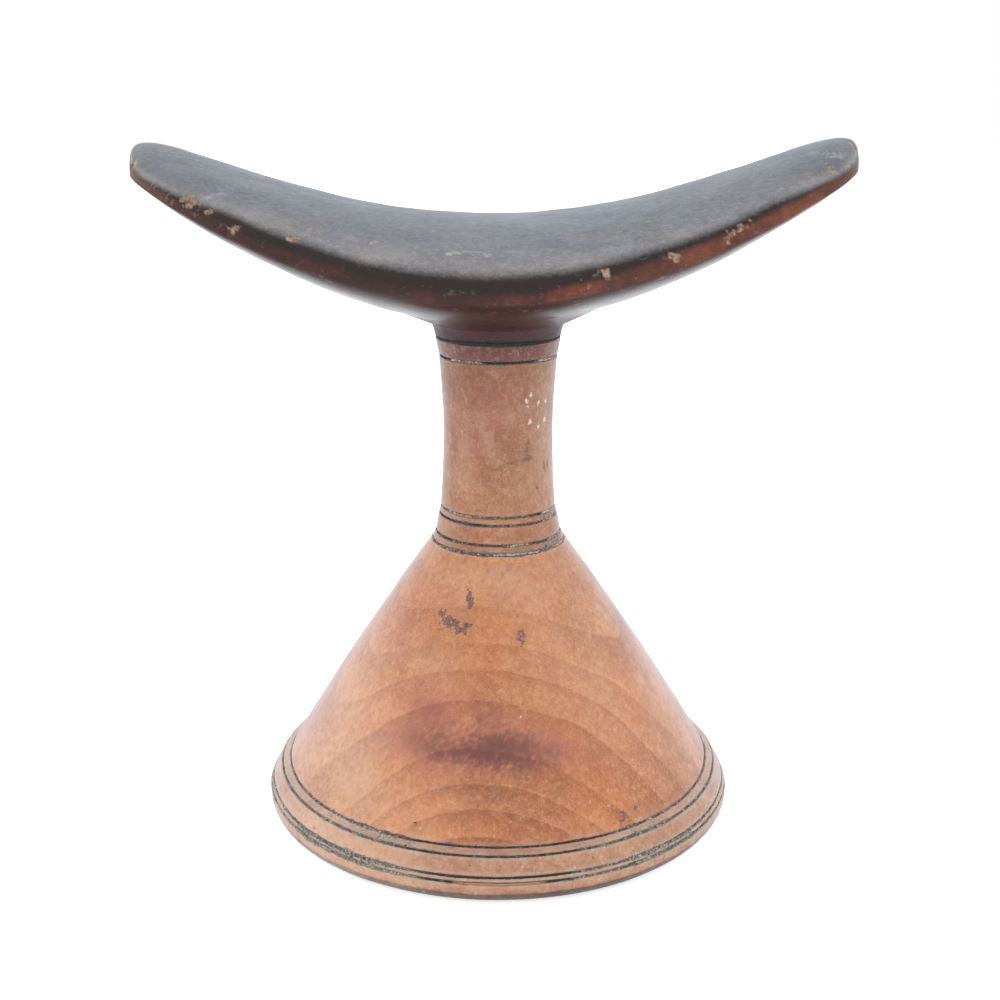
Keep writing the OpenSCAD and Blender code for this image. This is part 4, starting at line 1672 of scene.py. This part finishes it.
@dataclass
class Studio:
    """A pale floor, soft light all round and the camera."""

    floor_half: float = 6.0
    floor_color: Color = (0.96, 0.96, 0.965)
    front_color: Color = (1.0, 0.985, 0.96)
    back_color: Color = (0.86, 0.93, 1.0)
    floor_glow: float = 0.10
    floor_shine: float = 0.56
    left_light: float = 0.10
    front_light: float = 0.92
    back_light: float = 1.5
    camera_place: tuple[float, float, float] = (0.0, -0.31656, 0.16130)
    camera_dip: float = 15.479
    lens: float = 50.4
    sensor: float = 36.0
    shift: float = 0.002

    def build_floor(self) -> bpy.types.Object:
        """Lays the floor that the headrest stands on.

        Returns:
            The floor.
        """
        bm = bmesh.new()
        bmesh.ops.create_grid(bm, x_segments=8, y_segments=8, size=self.floor_half)
        low, _ = CAD_BOX
        bmesh.ops.translate(bm, verts=bm.verts[:], vec=(0.0, 0.0, low[2] - 0.02 * MM))
        mesh = bpy.data.meshes.new("floor")
        bm.to_mesh(mesh)
        bm.free()
        floor = bpy.data.objects.new("floor", mesh)
        bpy.context.scene.collection.objects.link(floor)
        material = bpy.data.materials.new("pale_floor")
        material.use_nodes = True
        kit = ShaderKit(material.node_tree)
        shader = kit.node("BsdfPrincipled")
        kit.feed(shader.inputs["Base Color"], self.floor_color)
        kit.feed(shader.inputs["Roughness"], 0.8)
        kit.feed(shader.inputs["Specular IOR Level"], 0.2)
        kit.feed(shader.inputs["Emission Color"], (1.0, 1.0, 1.0))
        seen = kit.node("LightPath").outputs["Is Camera Ray"]
        glow = kit.plus(self.floor_glow, kit.times(seen, self.floor_shine))
        kit.feed(shader.inputs["Emission Strength"], glow)
        kit.feed(kit.node("OutputMaterial").inputs["Surface"], shader.outputs[0])
        mesh.materials.append(material)
        return floor

    def build_sky(self) -> None:
        """Lights the scene softly: warm from the front, cooler and brighter from the back."""
        world = bpy.data.worlds.new("studio_sky")
        bpy.context.scene.world = world
        world.use_nodes = True
        kit = ShaderKit(world.node_tree)
        way = kit.node("TexCoord").outputs["Generated"]
        behind = kit.smooth(kit.axes(way)[1], -0.45, 0.25)
        light = kit.node("Background")
        kit.feed(light.inputs["Color"], kit.mix(behind, self.front_color, self.back_color))
        lift = kit.times(behind, self.back_light - self.front_light)
        side = kit.times(kit.axes(way)[0], -self.left_light)
        kit.feed(light.inputs["Strength"], kit.plus(self.front_light, lift, side))
        plain = kit.node("Background")
        kit.feed(plain.inputs["Color"], (1.0, 1.0, 1.0))
        choice = kit.node("MixShader")
        kit.feed(choice.inputs[0], kit.node("LightPath").outputs["Is Camera Ray"])
        kit.feed(choice.inputs[1], light.outputs[0])
        kit.feed(choice.inputs[2], plain.outputs[0])
        kit.feed(kit.node("OutputWorld").inputs["Surface"], choice.outputs[0])

    def build_camera(self) -> None:
        """Sets up the camera."""
        data = bpy.data.cameras.new("camera")
        data.lens = self.lens
        data.sensor_width = self.sensor
        data.shift_x = self.shift
        data.clip_start = 0.01
        camera = bpy.data.objects.new("camera", data)
        camera.location = self.camera_place
        camera.rotation_euler = (math.radians(90.0 - self.camera_dip), 0.0, 0.0)
        bpy.context.scene.collection.objects.link(camera)
        bpy.context.scene.camera = camera

    def build(self) -> None:
        """Builds the whole setting."""
        self.build_camera()
        self.build_floor()
        self.build_sky()
        view = bpy.context.scene.view_settings
        view.view_transform = "Standard"
        view.look = "None"


# ---------------------------------------------------------------- assembly


class Headrest:
    """The whole headrest: its wood, line by line, and the residue in the lines."""

    def __init__(self) -> None:
        """Builds the finishes that the pieces share."""
        effects = Effects()
        # The patina's two top colours are partly dust and partly a painted sheen.
        self.patina = PatinaFinish(
            "headplate_patina", dark=(0.018, 0.010, 0.010), top_dust_and_sheen=(0.232, 0.230, 0.246),
            crest_dust_and_sheen=(0.155, 0.163, 0.186), worn=(0.080, 0.018, 0.016), ember=(0.175, 0.052, 0.027),
            under=(0.032, 0.007, 0.007), boss=(0.058, 0.018, 0.025)).build(effects)
        self.column_wood = WoodFinish(
            "column_wood", pale=(0.51, 0.225, 0.105), rich=(0.36, 0.118, 0.042),
            handled=(0.27, 0.090, 0.034), flush_and_shade=(0.124, 0.019, 0.021), crust_pale=(0.30, 0.26, 0.22),
            ring_strength=0.4, ring_spacing=0.012, cloudiness=0.6).build(effects)
        self.cone_wood = WoodFinish(
            "cone_wood", pale=(0.72, 0.305, 0.128), rich=(0.46, 0.142, 0.038),
            handled=(0.34, 0.120, 0.048), flush_and_shade=(0.14, 0.04, 0.035), crust_dark=(0.12, 0.062, 0.070),
            crust_pale=(0.32, 0.17, 0.14), ring_strength=1.1, handled_from=0.072,
            handled_to=0.090).build(effects)
        # On the rim, the dark grey darkening colour only paints the shadow line along the foot's bottom
        # edge.
        self.rim_wood = WoodFinish(
            "rim_wood", pale=(0.64, 0.36, 0.22), rich=(0.48, 0.20, 0.10), handled=(0.30, 0.15, 0.09),
            flush_and_shade=(0.060, 0.055, 0.060), ring_strength=0.5, specks=0.60).build(effects)
        self.residue = ResidueFinish(
            "line_residue", dark=(0.038, 0.033, 0.033), ash=(0.20, 0.175, 0.155),
            chalk=(0.56, 0.52, 0.47), wood=(0.42, 0.24, 0.15)).build(effects)

    def sections(self) -> list[TurnedSection]:
        """Lists the wood bands of the round part, from the foot up.

        Returns:
            The sections, ready to build.
        """
        marks = turned_marks()
        return [
            FootSection("foot_ring", 0, self.rim_wood, 720, 0.40, halo=0.9, marks=marks),
            TurnedSection("rim_bead", 1, self.rim_wood, 900, 0.16, halo=1.0, marks=marks),
            TurnedSection("rim_band", 2, self.rim_wood, 720, 0.40, halo=1.0, marks=marks),
            TurnedSection("shoulder", 3, self.rim_wood, 900, 0.16, halo=1.1, marks=marks),
            TurnedSection("base_cone", 4, self.cone_wood, 600, 0.60, 0.8, halo=0.7, marks=marks),
            TurnedSection("ankle_foot", 5, self.column_wood, 420, 0.20, marks=marks),
            TurnedSection("ankle_band", 6, self.column_wood, 420, 0.30, halo=0.2, marks=marks),
            TurnedSection("ankle_ring", 7, self.column_wood, 420, 0.20, marks=marks),
            TurnedSection("column", 8, self.column_wood, 320, 0.35, -0.75, halo=0.3, marks=marks),
            TurnedSection("collar", 9, self.column_wood, 420, 0.30, flush_and_shade=0.92, halo=0.08, marks=marks),
        ]

    def build(self) -> None:
        """Builds every piece."""
        for section in self.sections():
            section.build()
        for index in range(1, len(LINES) + 1):
            Residue(index, self.residue, 1400 if index < 5 else 560).build()
        Headplate(self.patina, plate_marks()).build()


def main() -> None:
    """Builds the headrest and its setting."""
    logging.basicConfig(level=logging.INFO, format="%(name)s: %(message)s")
    Studio().build()
    Headrest().build()


if __name__ == "__main__":
    main()
